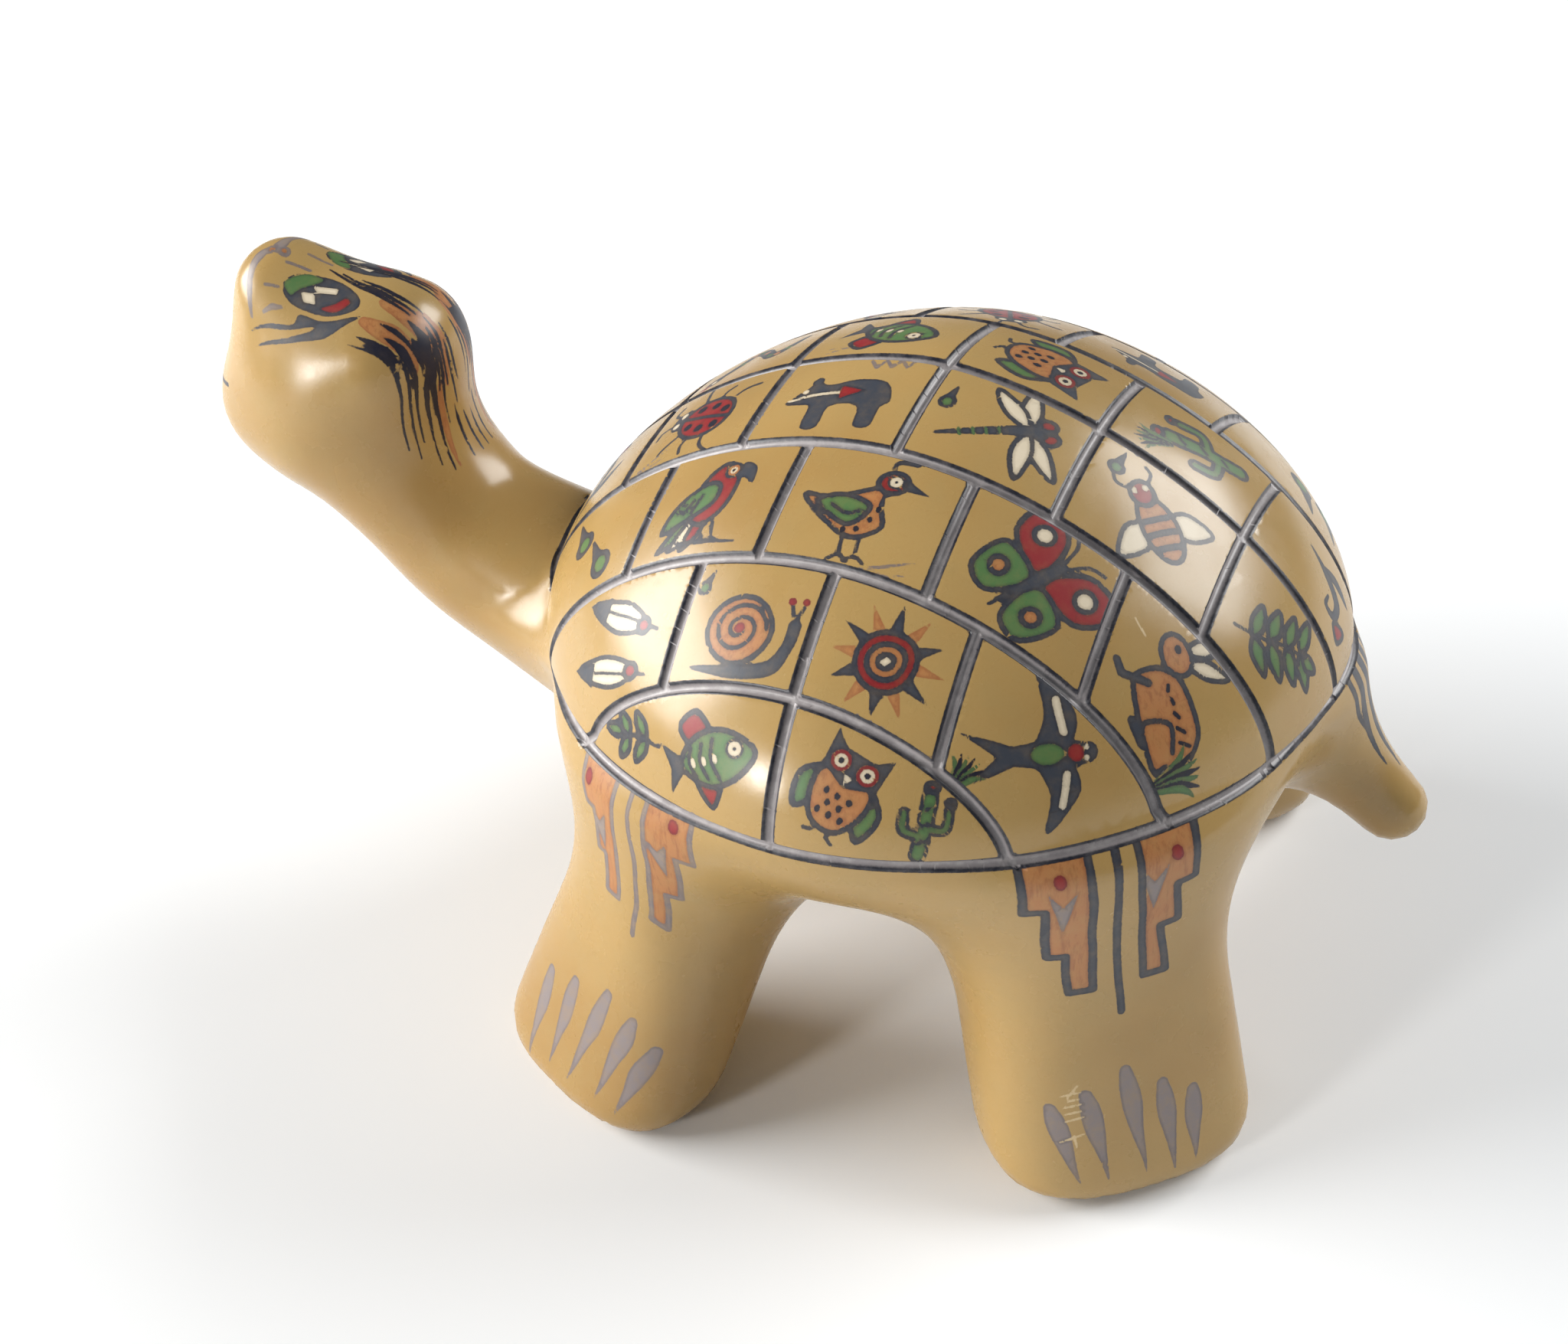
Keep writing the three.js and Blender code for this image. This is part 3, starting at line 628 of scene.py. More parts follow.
def snake(draw):
    path = [(-0.95, -0.5), (-0.7, 0.1), (-0.4, 0.32), (-0.1, -0.15), (0.2, -0.4), (0.45, 0.15), (0.75, 0.48)]
    path = bend(path, steps=8)
    draw.stroke("slate", path, [0.08, 0.26, 0.3, 0.32, 0.3, 0.26, 0.22])
    for index in range(8, len(path) - 6, 5):
        draw.oval("rust" if index % 2 else "green", path[index], (0.09, 0.09))
    draw.oval("slate", (0.82, 0.54), (0.24, 0.18), 40)
    draw.oval("cream", (0.84, 0.58), (0.08, 0.08))
    draw.stroke("red", [(0.92, 0.66), (1.02, 0.86)], 0.05)
    draw.stroke("red", [(0.92, 0.66), (1.12, 0.72)], 0.05)


def sun(draw):
    for step in range(12):
        angle = 2 * math.pi * step / 12
        tip = (0.98 * math.cos(angle), 0.98 * math.sin(angle))
        ends = [(0.52 * math.cos(angle + s), 0.52 * math.sin(angle + s)) for s in (0.22, -0.22)]
        draw.fill("slate" if step % 2 else "rust", [tip, *ends])
    draw.oval("red", (0, 0), (0.5, 0.5), 0, "slate")
    draw.oval("rust", (0, 0), (0.3, 0.3), 0, "slate")
    draw.oval("cream", (0, 0), (0.12, 0.12), 0, "slate")


def bear(draw):
    body = [
        (-0.88, -0.1), (-0.72, 0.36), (-0.2, 0.44), (0.25, 0.34), (0.5, 0.42), (0.85, 0.12), (0.98, -0.06),
        (0.6, -0.12), (0.48, -0.2), (0.48, -0.68), (0.2, -0.68), (0.13, -0.2), (-0.35, -0.22),
        (-0.4, -0.68), (-0.68, -0.68), (-0.74, -0.25),
    ]
    draw.fill("slate", bend(body, True, 3))
    draw.oval("slate", (0.5, 0.46), (0.1, 0.13))
    draw.stroke("cream", [(0.92, 0.02), (0.5, 0.1), (0.2, 0.13), (-0.05, 0.13)], 0.06)
    draw.fill("red", [(0.02, 0.3), (-0.4, 0.13), (0.02, -0.04)])
    draw.oval("cream", (0.66, 0.22), (0.06, 0.06))


def sprig(draw):
    draw.stroke("slate", bend([(-0.15, -1), (0, -0.3), (-0.02, 0.3), (0.12, 0.8)]), 0.07)
    for step in range(4):
        y = -0.58 + 0.4 * step
        for side in (1, -1):
            draw.leaf((0, y), (0.62 * side, y + 0.3), 0.15)
    draw.leaf((0.1, 0.7), (0.2, 1.12), 0.13)


def shoot(draw):
    draw.stroke("slate", bend([(-0.15, -1), (0, -0.2), (0.06, 0.5)]), 0.07)
    for y in (-0.5, 0.16):
        for side in (1, -1):
            draw.leaf((0, y), (0.66 * side, y + 0.46), 0.18)
    draw.leaf((0.05, 0.45), (0.12, 1.2), 0.18)


def feathers(draw):
    for x, turn in ((-0.38, -0.2), (0.38, 0.15)):
        draw.leaf((x, -0.8), (x + turn, 0.85), 0.24, "cream")
        draw.fill("slate", [(x + turn - 0.22, 0.34), (x + turn, 0.98), (x + turn + 0.22, 0.34)])
        draw.stroke("slate", [(x, -1), (x + turn, 0.6)], 0.06)
        draw.oval("red", (x, -0.66), (0.13, 0.15), 0, "slate")


def swallow(draw):
    wings = [
        (0, 0.4), (-0.5, 0.5), (-1.02, 0.05), (-0.5, 0.1), (0, -0.08), (0.5, 0.1), (1.02, 0.05), (0.5, 0.5),
    ]
    draw.fill("slate", bend(wings, True))
    draw.stroke("slate", [(0, 0.62), (0, 0.2), (0, -0.35)], [0.28, 0.4, 0.24])
    draw.fill("slate", [(-0.1, -0.3), (-0.36, -1), (0, -0.55), (0.36, -1), (0.1, -0.3)])
    draw.oval("red", (0, 0.46), (0.12, 0.11))
    draw.oval("green", (0, 0.1), (0.13, 0.22))
    for side in (1, -1):
        draw.stroke("cream", [(0.26 * side, 0.32), (0.66 * side, 0.26)], 0.1)
        draw.oval("cream", (0.07 * side, 0.6), (0.04, 0.04))


def snail(draw):
    foot = bend([(-0.95, -0.6), (-0.3, -0.68), (0.5, -0.64), (0.8, -0.3), (0.88, 0.08)])
    draw.stroke("slate", foot, [0.06, 0.22, 0.26, 0.22, 0.24])
    draw.oval("rust", (-0.1, 0.02), (0.6, 0.58), 0, "slate")
    turns = np.linspace(0, 4.2 * math.pi, 44)
    coil = [
        (-0.1 + (0.5 - 0.035 * a) * math.cos(a), 0.02 + (0.48 - 0.034 * a) * math.sin(a)) for a in turns
    ]
    draw.stroke("slate", coil, 0.08)
    draw.oval("red", (-0.1, 0.04), (0.1, 0.1))
    for x in (0.78, 1.02):
        draw.stroke("slate", [(0.88, 0.1), (x, 0.48)], 0.05)
        draw.oval("red", (x, 0.5), (0.07, 0.07))


def beetle(draw):
    for side in (1, -1):
        for y, tip in ((0.2, 0.55), (-0.1, -0.1), (-0.35, -0.8)):
            leg = [(0.3 * side, y), (0.7 * side, (y + tip) / 2 + 0.1), (0.9 * side, tip)]
            draw.stroke("slate", bend(leg), 0.08)
        draw.stroke("slate", bend([(0.1 * side, 0.7), (0.22 * side, 1), (0.46 * side, 1)]), 0.06)
    draw.oval("slate", (0, 0.62), (0.3, 0.22))
    draw.oval("red", (0, -0.08), (0.54, 0.62), 0, "slate")
    draw.stroke("slate", [(0, 0.5), (0, -0.66)], 0.09)
    for side in (1, -1):
        for x, y in ((0.24, 0.22), (0.3, -0.12), (0.2, -0.44)):
            draw.oval("ink", (x * side, y), (0.1, 0.1))
        draw.oval("cream", (0.14 * side, 0.68), (0.08, 0.08))


def cactus(draw):
    limbs = (
        ([(0, -0.95), (0, 0.62)], 0.46),
        (bend([(0, -0.2), (0.5, -0.12), (0.54, 0.34)]), 0.32),
        (bend([(0, -0.45), (-0.5, -0.36), (-0.54, 0.1)]), 0.32),
    )
    for path, width in limbs:
        draw.stroke("slate", path, width)
    for path, width in limbs:
        draw.stroke("green", path, width - 0.17)
    for step in range(3):
        draw.stroke("slate", [(-0.05, -0.64 + 0.46 * step), (0.06, -0.52 + 0.46 * step)], 0.05)
    draw.oval("red", (0, 0.88), (0.15, 0.12), 0, "slate")
    draw.oval("red", (0.54, 0.56), (0.11, 0.09), 0, "slate")


def quail(draw):
    body = [
        (0.35, 0.5), (0.3, 0.1), (0.42, -0.3), (0, -0.54), (-0.5, -0.32), (-0.98, 0.14), (-0.5, 0.12), (0, 0.34),
    ]
    wing = [(0.14, 0.05), (-0.15, -0.34), (-0.74, 0.04), (-0.3, 0.2)]
    draw.fill("rust", bend(body, True), "slate")
    draw.fill("green", bend(wing, True), "slate")
    draw.stroke("slate", bend([(0, -0.04), (-0.2, -0.14), (-0.48, 0)]), 0.07)
    draw.oval("red", (0.37, 0.54), (0.24, 0.21), 0, "slate")
    draw.eye((0.4, 0.56), 0.1, "cream")
    draw.fill("slate", [(0.58, 0.64), (1, 0.44), (0.58, 0.42)])
    draw.stroke("slate", bend([(0.32, 0.72), (0.3, 0.94), (0.6, 1.02)]), [0.05, 0.08, 0.18])
    for x in (-0.1, 0.16):
        draw.stroke("slate", [(x, -0.5), (x + 0.02, -0.86)], 0.07)
        draw.stroke("slate", [(x - 0.14, -0.96), (x + 0.02, -0.84), (x + 0.18, -0.96)], 0.06)
    for x, y in ((0.2, -0.18), (0.05, -0.38), (0.28, 0.02), (-0.15, -0.44)):
        draw.oval("ink", (x, y), (0.05, 0.06))


def bee(draw):
    for side in (1, -1):
        draw.leaf((-0.02, 0.16 * side), (-0.4, 0.95 * side), 0.24, "cream")
        draw.stroke("slate", bend([(0.6, 0.06 * side), (0.84, 0.34 * side), (1.02, 0.34 * side)]), 0.06)
    draw.oval("rust", (-0.12, 0), (0.64, 0.34), 0, "slate")
    for x in (-0.48, -0.22, 0.04):
        draw.stroke("slate", [(x, 0.26), (x, -0.26)], 0.12)
    draw.oval("red", (0.56, 0), (0.24, 0.23), 0, "slate")
    for side in (1, -1):
        draw.oval("cream", (0.64, 0.11 * side), (0.06, 0.06))


def drop(draw):
    draw.stroke("slate", bend([(0, -0.4), (0, 0), (0.06, 0.95)]), [0.8, 0.5, 0.04])
    draw.oval("slate", (0, -0.4), (0.48, 0.48))
    draw.oval("green", (0, -0.4), (0.26, 0.3))


def curl(draw):
    swirl = bend([(-0.85, -0.5), (-0.2, -0.3), (0.42, 0), (0.46, 0.44), (0.1, 0.5), (0.1, 0.2)])
    draw.stroke("slate", swirl, [0.05, 0.24, 0.3, 0.2, 0.14, 0.08])
    draw.fill("slate", bend([(-0.3, -0.42), (0.2, -0.68), (0.9, -0.52), (0.2, -0.38)], True))
    draw.fill("red", bend([(0.5, 0.56), (0.9, 0.8), (0.96, 0.3)], True), "slate")


def blossom(draw):
    for step in range(6):
        angle = 2 * math.pi * step / 6
        tip = (0.9 * math.cos(angle), 0.9 * math.sin(angle))
        draw.leaf((0, 0), tip, 0.22, ("cream", "rust")[step % 2])
    draw.oval("red", (0, 0), (0.24, 0.24), 0, "slate")


def grass(draw):
    for step in range(7):
        lean = (step - 3) / 3
        path = bend([(0.12 * lean, -0.9), (0.4 * lean, 0.1), (0.85 * lean, 0.95 - 0.4 * lean * lean)])
        draw.stroke("ink" if step % 2 else "green", path, [0.16, 0.3, 0.06])


def zigzag(draw):
    points = [(-1, 0.3), (-0.7, -0.3), (-0.35, 0.3), (0, -0.3), (0.35, 0.3), (0.7, -0.3), (1, 0.3)]
    draw.stroke("grey", points, 0.12)


def twigs(draw):
    draw.stroke("grey", bend([(-1, -0.5), (0, -0.1), (1, 0.4)]), [0.1, 0.16, 0.04])
    draw.stroke("grey", bend([(-0.9, -0.6), (0.1, -0.5), (1, -0.2)]), [0.1, 0.14, 0.04])


# For each strip, from the left side of the turtle over the top to its right, the drawings
# of each panel from the front to the rear: what, its place along and up in half panels,
# its scale, turn in degrees and hand
PANELS = [
    [
        [(shoot, -1.42, 0.68, 0.62, 82, 1), (round_fish, 0.03, 0.3, 0.96, 6, 1)],
        [(owl, -0.2, 0.38, 0.98, 4, 1), (cactus, 1.12, 0.68, 0.7, 20, 1)],
    ],
    [
        [(feathers, 0.16, 0, 0.8, 62, 1)],
        [(snail, 0.05, -0.1, 1.0, 4, 1), (drop, -0.7, 0.62, 0.3, -20, 1)],
        [(sun, 0, 0, 1.0, 8, 1), (zigzag, 0.05, -0.94, 0.32, 0, 1)],
        [(swallow, -0.12, 0.1, 1.0, -40, 1), (grass, -0.5, -0.68, 0.3, 10, 1)],
    ],
    [
        [(drop, 0.05, 0.3, 0.5, 30, 1), (drop, 0.4, -0.3, 0.5, 30, 1)],
        [(parrot, 0, 0.05, 1.0, -6, 1)],
        [(quail, -0.05, 0, 1.0, 4, 1), (twigs, 0.5, -0.72, 0.4, 0, 1)],
        [(butterfly, 0.02, 0, 1.08, -30, 1)],
        [(rabbit, -0.16, 0, 0.95, -28, -1), (grass, 0.42, -0.5, 0.4, -20, 1)],
    ],
    [
        [(curl, 0.15, 0, 0.85, 30, 1)],
        [(beetle, 0, 0, 1.0, 75, 1), (twigs, -0.6, -0.7, 0.34, 0, 1)],
        [(bear, 0, -0.06, 1.06, 6, -1), (zigzag, 0.4, 0.8, 0.4, 8, 1)],
        [(dragonfly, 0, 0, 1.06, -60, 1), (drop, -0.74, 0.3, 0.34, 0, 1)],
        [(bee, 0, 0, 1.0, -35, -1), (drop, -0.72, 0.56, 0.34, 0, 1)],
        [(sprig, -0.12, 0, 0.9, -50, 1)],
    ],
    [
        [(blossom, 0.1, 0, 0.8, 0, 1)],
        [(snake, 0, 0, 1.0, 10, 1)],
        [(round_fish, 0, 0, 1.0, -15, -1), (twigs, 0.5, 0.75, 0.34, 0, 1)],
        [(owl, 0, 0, 1.0, 80, 1)],
        [(cactus, 0, 0, 0.95, -70, 1), (grass, 0.5, 0.5, 0.4, -60, 1)],
        [(curl, -0.1, 0, 0.85, 0, -1)],
    ],
    [
        [(sprig, 0.1, 0, 0.85, -60, 1)],
        [(quail, 0, 0, 1.0, 0, -1)],
        [(beetle, 0, 0, 1.0, 20, 1)],
        [(bear, 0, 0, 1.0, 0, 1)],
        [(drop, -0.3, 0, 0.6, 20, 1), (drop, 0.1, 0.1, 0.6, 20, 1)],
    ],
    [
        [(feathers, 0.1, 0, 0.8, -60, 1)],
        [(butterfly, 0, 0, 1.0, 15, 1)],
        [(snail, 0, 0, 1.0, 0, -1)],
        [(blossom, -0.1, 0, 0.8, 0, 1)],
    ],
    [
        [(lizard, -0.25, 0.3, 0.85, -75, 1), (shoot, 0.95, 0.65, 0.5, -82, 1)],
        [(rabbit, 0.28, 0.32, 0.9, 0, 1), (grass, -0.95, 0.7, 0.5, 25, 1)],
    ],
]
PANEL_FILL = 0.88
DRAWING_REACH = 1.35


def between(low, high, reach):
    """The middle of a stretch of the dome, by its angle"""
    angles = [math.asin(max(-1, min(1, value / reach))) for value in (low, high)]
    return reach * math.sin(sum(angles) / 2)


def paint_panels(paint):
    edges = [SHELL_HALF_WIDTH, *LANES, -SHELL_HALF_WIDTH]
    hand_across = paint.hand @ LANE_WAY
    hand_along = paint.hand @ ALONG_WAY
    on_dome = paint.hand[:, 2] > RIM_HEIGHT + 0.5
    for strip, cells in enumerate(PANELS):
        high, low = edges[strip], edges[strip + 1]
        across = between(low, high, SHELL_HALF_WIDTH)
        ends = [rim_reach(across, -1), *CROSSINGS[strip], rim_reach(across, 1)]
        in_strip = on_dome & (hand_across > low) & (hand_across < high + 1)
        for cell, drawings in enumerate(cells):
            front, rear = ends[cell], ends[cell + 1]
            along = between(front, rear, ends[-1] + 1)
            middle, normal = settle([dome_point(across, along)])
            middle, normal = middle[0], normal[0]
            upward = LANE_WAY if across < -6 else -LANE_WAY
            upward = upward - normal * (upward @ normal)
            upward /= np.linalg.norm(upward)
            right = np.cross(upward, normal)
            outer = dome_point(min(high, 0.995 * SHELL_HALF_WIDTH), along)
            inner = dome_point(max(low, -0.995 * SHELL_HALF_WIDTH), along)
            half_height = np.linalg.norm(outer - inner) / 2
            half_width = np.linalg.norm(dome_point(across, front) - dome_point(across, rear)) / 2
            reach = 2.2 * max(half_width, half_height)
            picture = picture_on(paint, middle, right, upward, normal, reach)
            beside = hand_along[picture.where]
            inside = in_strip[picture.where]
            if cell:
                inside = inside & (beside > front)
            if cell < len(cells) - 1:
                inside = inside & (beside < rear)
            picture = Picture(paint, picture.where[inside], picture.at[inside])
            size = PANEL_FILL * min(half_width, half_height)
            for motif, x, y, scale, turn, mirror in drawings:
                place = (x * half_width, y * half_height)
                motif(picture.turned(place, size * scale, turn, mirror))


# Stepped hangings under the rim on each leg. Outlines run from the rim down the outer
# steps and back up the straight inner side: millimetres right of the middle and down.
REAR_STEPS = dict(
    centre=(73, 54), heading=35, edge=("slate", 1.75),
    hangings=[
        [(-18.7, 1), (-17.6, -11.8), (-13.8, -11.6), (-12.5, -25.2), (-9, -25), (-8, -35.5), (-3.2, -35), (-5.6, 1)],
        [(16.4, 1), (16.8, -11), (12.6, -11.3), (13.8, -21.4), (10, -21.6), (12, -34.4), (7.3, -34.5), (4.1, 1)],
    ],
    line=[(-0.2, 1), (0.6, -20), (2.7, -42.3)],
    darts=[(-10.4, -12), (7.7, -10.5)],
    dots=[(-11.2, -4.2), (12.3, -4)],
    claws=[
        [(-12.5, -63.5), (-8.2, -80.5)], [(-5.5, -60.5), (-2.1, -80.5)], [(3, -56.6), (5.9, -80.2)],
        [(10.8, -61.7), (12.4, -82)], [(17.7, -65.6), (17.1, -81.5)],
    ],
)
FRONT_STEPS = dict(
    centre=(83, -39.5), heading=-23, edge=("grey", 1.25),
    hangings=[
        [(-16.4, 1), (-14.2, -9.7), (-11.6, -9.6), (-12.4, -21), (-9.8, -21), (-10.9, -31), (-7.1, -31.7), (-4.5, 1)],
        [(15.6, 1), (14.3, -13), (10.2, -12.4), (8.2, -26), (5.2, -25.4), (4.7, -35.4), (1.2, -33), (4.5, 1)],
    ],
    line=[(0.1, 1), (-1, -20), (-3.2, -39)],
    darts=[(-10.2, -14), (6.4, -13.4)],
    dots=[(-13.4, -3.4), (11.2, -3.4)],
    claws=[
        [(-28.1, -62), (-30.5, -83)], [(-18.7, -58.7), (-22.5, -79.8)], [(-8, -56), (-15.6, -79.6)],
        [(-0.6, -59.2), (-6.5, -79.4)], [(5.1, -64.5), (-1.1, -81.2)],
    ],
)
DART = [(-3.6, 6.4), (0.3, -6.6), (3.2, 5.8), (0, 1.6)]
CLAW_WIDTHS = [2.8, 4.3, 4.5, 3.4, 2.2, 1.2, 0.3]


def paint_leg(paint, marks, side):
    angle = math.radians(marks["heading"])
    facing = np.array([side * math.cos(angle), math.sin(angle), 0])
    right = np.array([-math.sin(angle), side * math.cos(angle), 0]) * np.array([side, side, 0])
    centre = np.array([side * marks["centre"][0], marks["centre"][1], RIM_HEIGHT])
    picture = picture_on(paint, centre, right, UP, facing, 100)
    edge, thick = marks["edge"]
    for outline, dart, dot in zip(marks["hangings"], marks["darts"], marks["dots"]):
        picture.fill("rust", outline)
        picture.fill("grey", np.array(DART) * 0.9 + np.array(dart))
        picture.oval("red", dot, (1.3, 1.6), 20)
        picture.stroke(edge, outline, thick)
    picture.stroke(edge, bend(marks["line"]), thick)
    for head, tip in marks["claws"]:
        picture.stroke("grey", np.linspace(head, tip, 9), CLAW_WIDTHS)


# The eyes and their strokes, in the plane of the cheek, x towards the tail
EYES = {1: (9.1, -138.9, 149.4), -1: (-4.4, -135.6, 151.5)}
BROW_WAY = np.array([-0.8, -0.22, 0.56])


def paint_eye(paint, side):
    centre, normal = settle([EYES[side]])
    centre, normal = centre[0], normal[0]
    upward = BROW_WAY * np.array([side, 1, 1])
    upward = upward - normal * (upward @ normal)
    upward /= np.linalg.norm(upward)
    right = side * np.cross(upward, normal)
    picture = picture_on(paint, centre, right, upward, normal, 24)
    picture.oval("slate", (-0.7, 0.2), (9.4, 4.9), -19)
    green = [(-9.3, 3.4), (-7.6, 0.2), (-5.6, 1.7), (-2.8, 3), (-0.6, 4.4), (-4.4, 5.7)]
    picture.fill("green", bend(green, True))
    picture.fill("cream", [(-5.3, 1.2), (-2.4, 0.8), (-1.9, -2.2), (-4.6, -1.4)])
    picture.fill("cream", [(-2.8, 2.8), (3.1, 1.9), (2.8, 0.3), (-1.6, 0.9)])
    crescent = [(-0.6, -3.2), (2.6, -2.2), (5, -0.6), (6.1, -2), (4, -4.2), (1.6, -4.3)]
    picture.fill("red", bend(crescent, True))
    upper = [
        (8.9, -5.6), (4, -6.3), (-1, -6), (-5.4, -4.3), (-6.6, -6.2), (-12, -5.2), (-18.8, -5),
        (-12, -6.2), (-6, -7.4), (-1.6, -7.4), (-5, -8.6), (-16.9, -8.2), (-8, -9.8), (0, -10), (5, -8.2),
    ]
    picture.fill("slate", bend(upper, True, 3))
    nostril = bend([(-14, 12.6), (-16.6, 9.6), (-17.6, 4), (-17.1, -3)])
    picture.stroke("grey", nostril, [1.6, 3, 2, 1.4, 0.6])
    picture.oval("grey", (-13.4, 12.4), (2, 1.5), 30)
    picture.oval("rust", (-13.4, 12.4), (1, 0.6), 30)
    for mark in ([(-13.8, 3.3), (-10.6, 2.3)], [(-14, -2.8), (-12, -2), (-9.3, -2.4)], [(-9.6, 8.6), (-4, 6.6)]):
        picture.stroke("grey", mark, [0.9, 1.5, 0.8])


# Strokes of the nape run between three guides, from the cheek to the middle of the neck
NAPE_GUIDES = np.array([
    [(16.6, -130.6, 142.4), (15.8, -122.7, 139.8), (15.6, -120, 134.7), (15.8, -120.4, 127.3), (15.8, -120.6, 116.1)],
    [(6.6, -125.6, 148), (6.8, -116.7, 142.2), (8.8, -115, 135.2), (10.1, -115.8, 126.6), (11.4, -113.4, 109.4)],
    [(0.6, -124.3, 149), (1.7, -114.4, 140), (1.7, -113.1, 131.1), (-0.3, -113.2, 118.9), (-0.7, -110, 110.5)],
])
FOREHEAD_GUIDES = np.array([
    [(2.4, -141, 152.8), (4.4, -133.6, 151), (5.4, -127.4, 149.5), (6.4, -119.8, 145.8)],
    [(0.9, -139, 152.6), (2.6, -132, 151), (3.2, -126, 149.4), (3.6, -118.6, 145)],
])
# Each stroke: its share from the cheek to the middle, where it starts and ends, its width
NAPE_STROKES = [
    (0, 0.02, 0.98, 1.1), (0.04, 0.1, 0.5, 1.9), (0.1, 0.04, 0.44, 1.6), (0.14, 0.3, 1, 1), (0.2, 0.16, 0.62, 2.2),
    (0.25, 0.42, 0.9, 1.2), (0.3, 0.1, 0.36, 1.3), (0.36, 0.24, 0.56, 2.5), (0.42, 0.5, 0.97, 1.6),
    (0.46, 0.16, 0.72, 3), (0.52, 0.4, 0.8, 2.4), (0.56, 0.6, 1, 1.1), (0.62, 0.2, 0.66, 1.3), (0.68, 0.3, 0.82, 1),
    (0.75, 0.16, 0.6, 1), (0.8, 0.72, 1, 1), (0.86, 0.3, 0.7, 0.9), (0.92, 0.74, 1, 0.9), (0.97, 0.2, 0.56, 0.9),
]


def guide_path(guides, share, start, end):
    """A curve between neighbouring guides, from a share of their length to another"""
    place = share * (len(guides) - 1)
    lower = min(int(place), len(guides) - 2)
    curve = bend(guides[lower] + (place - lower) * (guides[lower + 1] - guides[lower]), steps=6)
    marks = np.linspace(start, end, 6) * (len(curve) - 1)
    index = np.minimum(marks.astype(int), len(curve) - 2)
    return curve[index] + (marks - index)[:, None] * (curve[index + 1] - curve[index])


def paint_nape(paint):
    for side in (1, -1):
        mirror = np.array([side, 1, 1])
        for share, start, end, width in ((0.25, 0, 0.5, 5), (0.5, 0, 0.45, 5), (0.75, 0.15, 0.6, 4), (0.62, 0.6, 1, 2)):
            path = guide_path(NAPE_GUIDES, share, start, end)
            paint.trail("rust", path * mirror, [0.5 * width, width, 0.8 * width, 0.3 * width])
        for share, start, end, width in NAPE_STROKES:
            path = guide_path(NAPE_GUIDES, share, start, end)
            paint.trail("ink", path * mirror, [0.4, width, 0.9 * width, 0.7, 0.5])
        for share in (0, 0.45, 1):
            path = guide_path(FOREHEAD_GUIDES, share, 0.3 * share, 1)
            paint.trail("ink", path * mirror, [0.5, 1, 1.2, 0.5])


def paint_snout(paint):
    mouth = [(-15, -166.4, 127.5), (-8, -169.2, 126), (0, -170.2, 125.6), (8, -169.2, 126), (15, -166.4, 127.5)]
    paint.trail("slate", mouth, [1.1, 1, 1, 1, 1.1])


def paint_tail(paint):
    for x, length, width in ((-8, 16, 2), (-4, 24, 3), (0, 30, 3.6), (4.5, 25, 3), (8.5, 15, 2)):
        path = [(x, 86.4, 87.4), (0.9 * x, 91, 87 - 0.5 * length), (0.7 * x, 97.5, 88 - length)]
        paint.trail("slate", path, [width, 0.8 * width, 0.4])


# Scratches in the slip beside the claws of the left rear foot, and one on the shell
FOOT_SCRATCHES = [
    [(-10.4, -60.4), (-6.4, -59.6)], [(-10.3, -61.8), (-6.6, -61.2)], [(-10, -63.1), (-6.3, -62.4)],
    [(-9.8, -64.6), (-6.4, -64)], [(-9.8, -66.2), (-6.3, -65.4)], [(-9.2, -61.2), (-6.4, -57.2)],
    [(-11.4, -70.9), (-6.2, -69)], [(-8.3, -69.4), (-8, -72)],
]
SHELL_SCRATCH = [(45, 50.4, 120.7), (46.7, 52.7, 118.1)]


def paint_scratches(paint):
    angle = math.radians(REAR_STEPS["heading"])
    right = np.array([-math.sin(angle), math.cos(angle), 0])
    facing = np.array([math.cos(angle), math.sin(angle), 0])
    centre = np.array([*REAR_STEPS["centre"], RIM_HEIGHT])
    picture = picture_on(paint, centre, right, UP, facing, 110)
    for start, end in FOOT_SCRATCHES:
        picture.stroke("scratch", np.linspace(start, end, 3), [0.3, 0.55, 0.3])
    paint.trail("scratch", SHELL_SCRATCH, [0.4, 0.5, 0.3])


def paint_all(points, normals):
    paint = Paint(points, normals)
    paint_panels(paint)
    for side in (1, -1):
        paint_leg(paint, FRONT_STEPS, side)
        paint_leg(paint, REAR_STEPS, side)
        paint_eye(paint, side)
    paint_nape(paint)
    paint_snout(paint)
    paint_tail(paint)
    paint_scratches(paint)
    return paint


# The skin: the frame's own solid, remeshed, laid on the clay and divided under the paint

def read_points(skin):
    flat = np.zeros(3 * len(skin.data.vertices))
    skin.data.vertices.foreach_get("co", flat)
    return flat.reshape(-1, 3) / MM - SHELL_MIDDLE


def write_points(skin, points):
    skin.data.vertices.foreach_set("co", ((points + SHELL_MIDDLE) * MM).ravel())
    skin.data.update()


def even_out(skin, points, passes):
    """Each point slides towards the middle of its neighbours, and back onto the clay"""
    ends = np.zeros(2 * len(skin.data.edges), int)
    skin.data.edges.foreach_get("vertices", ends)
    first, second = ends.reshape(-1, 2).T
    count = np.bincount(ends, minlength=len(points))[:, None]
    for _ in range(passes):
        total = np.zeros_like(points)
        np.add.at(total, first, points[second])
        np.add.at(total, second, points[first])
        points, _ = settle(0.5 * points + 0.5 * total / count, 1)
    return points


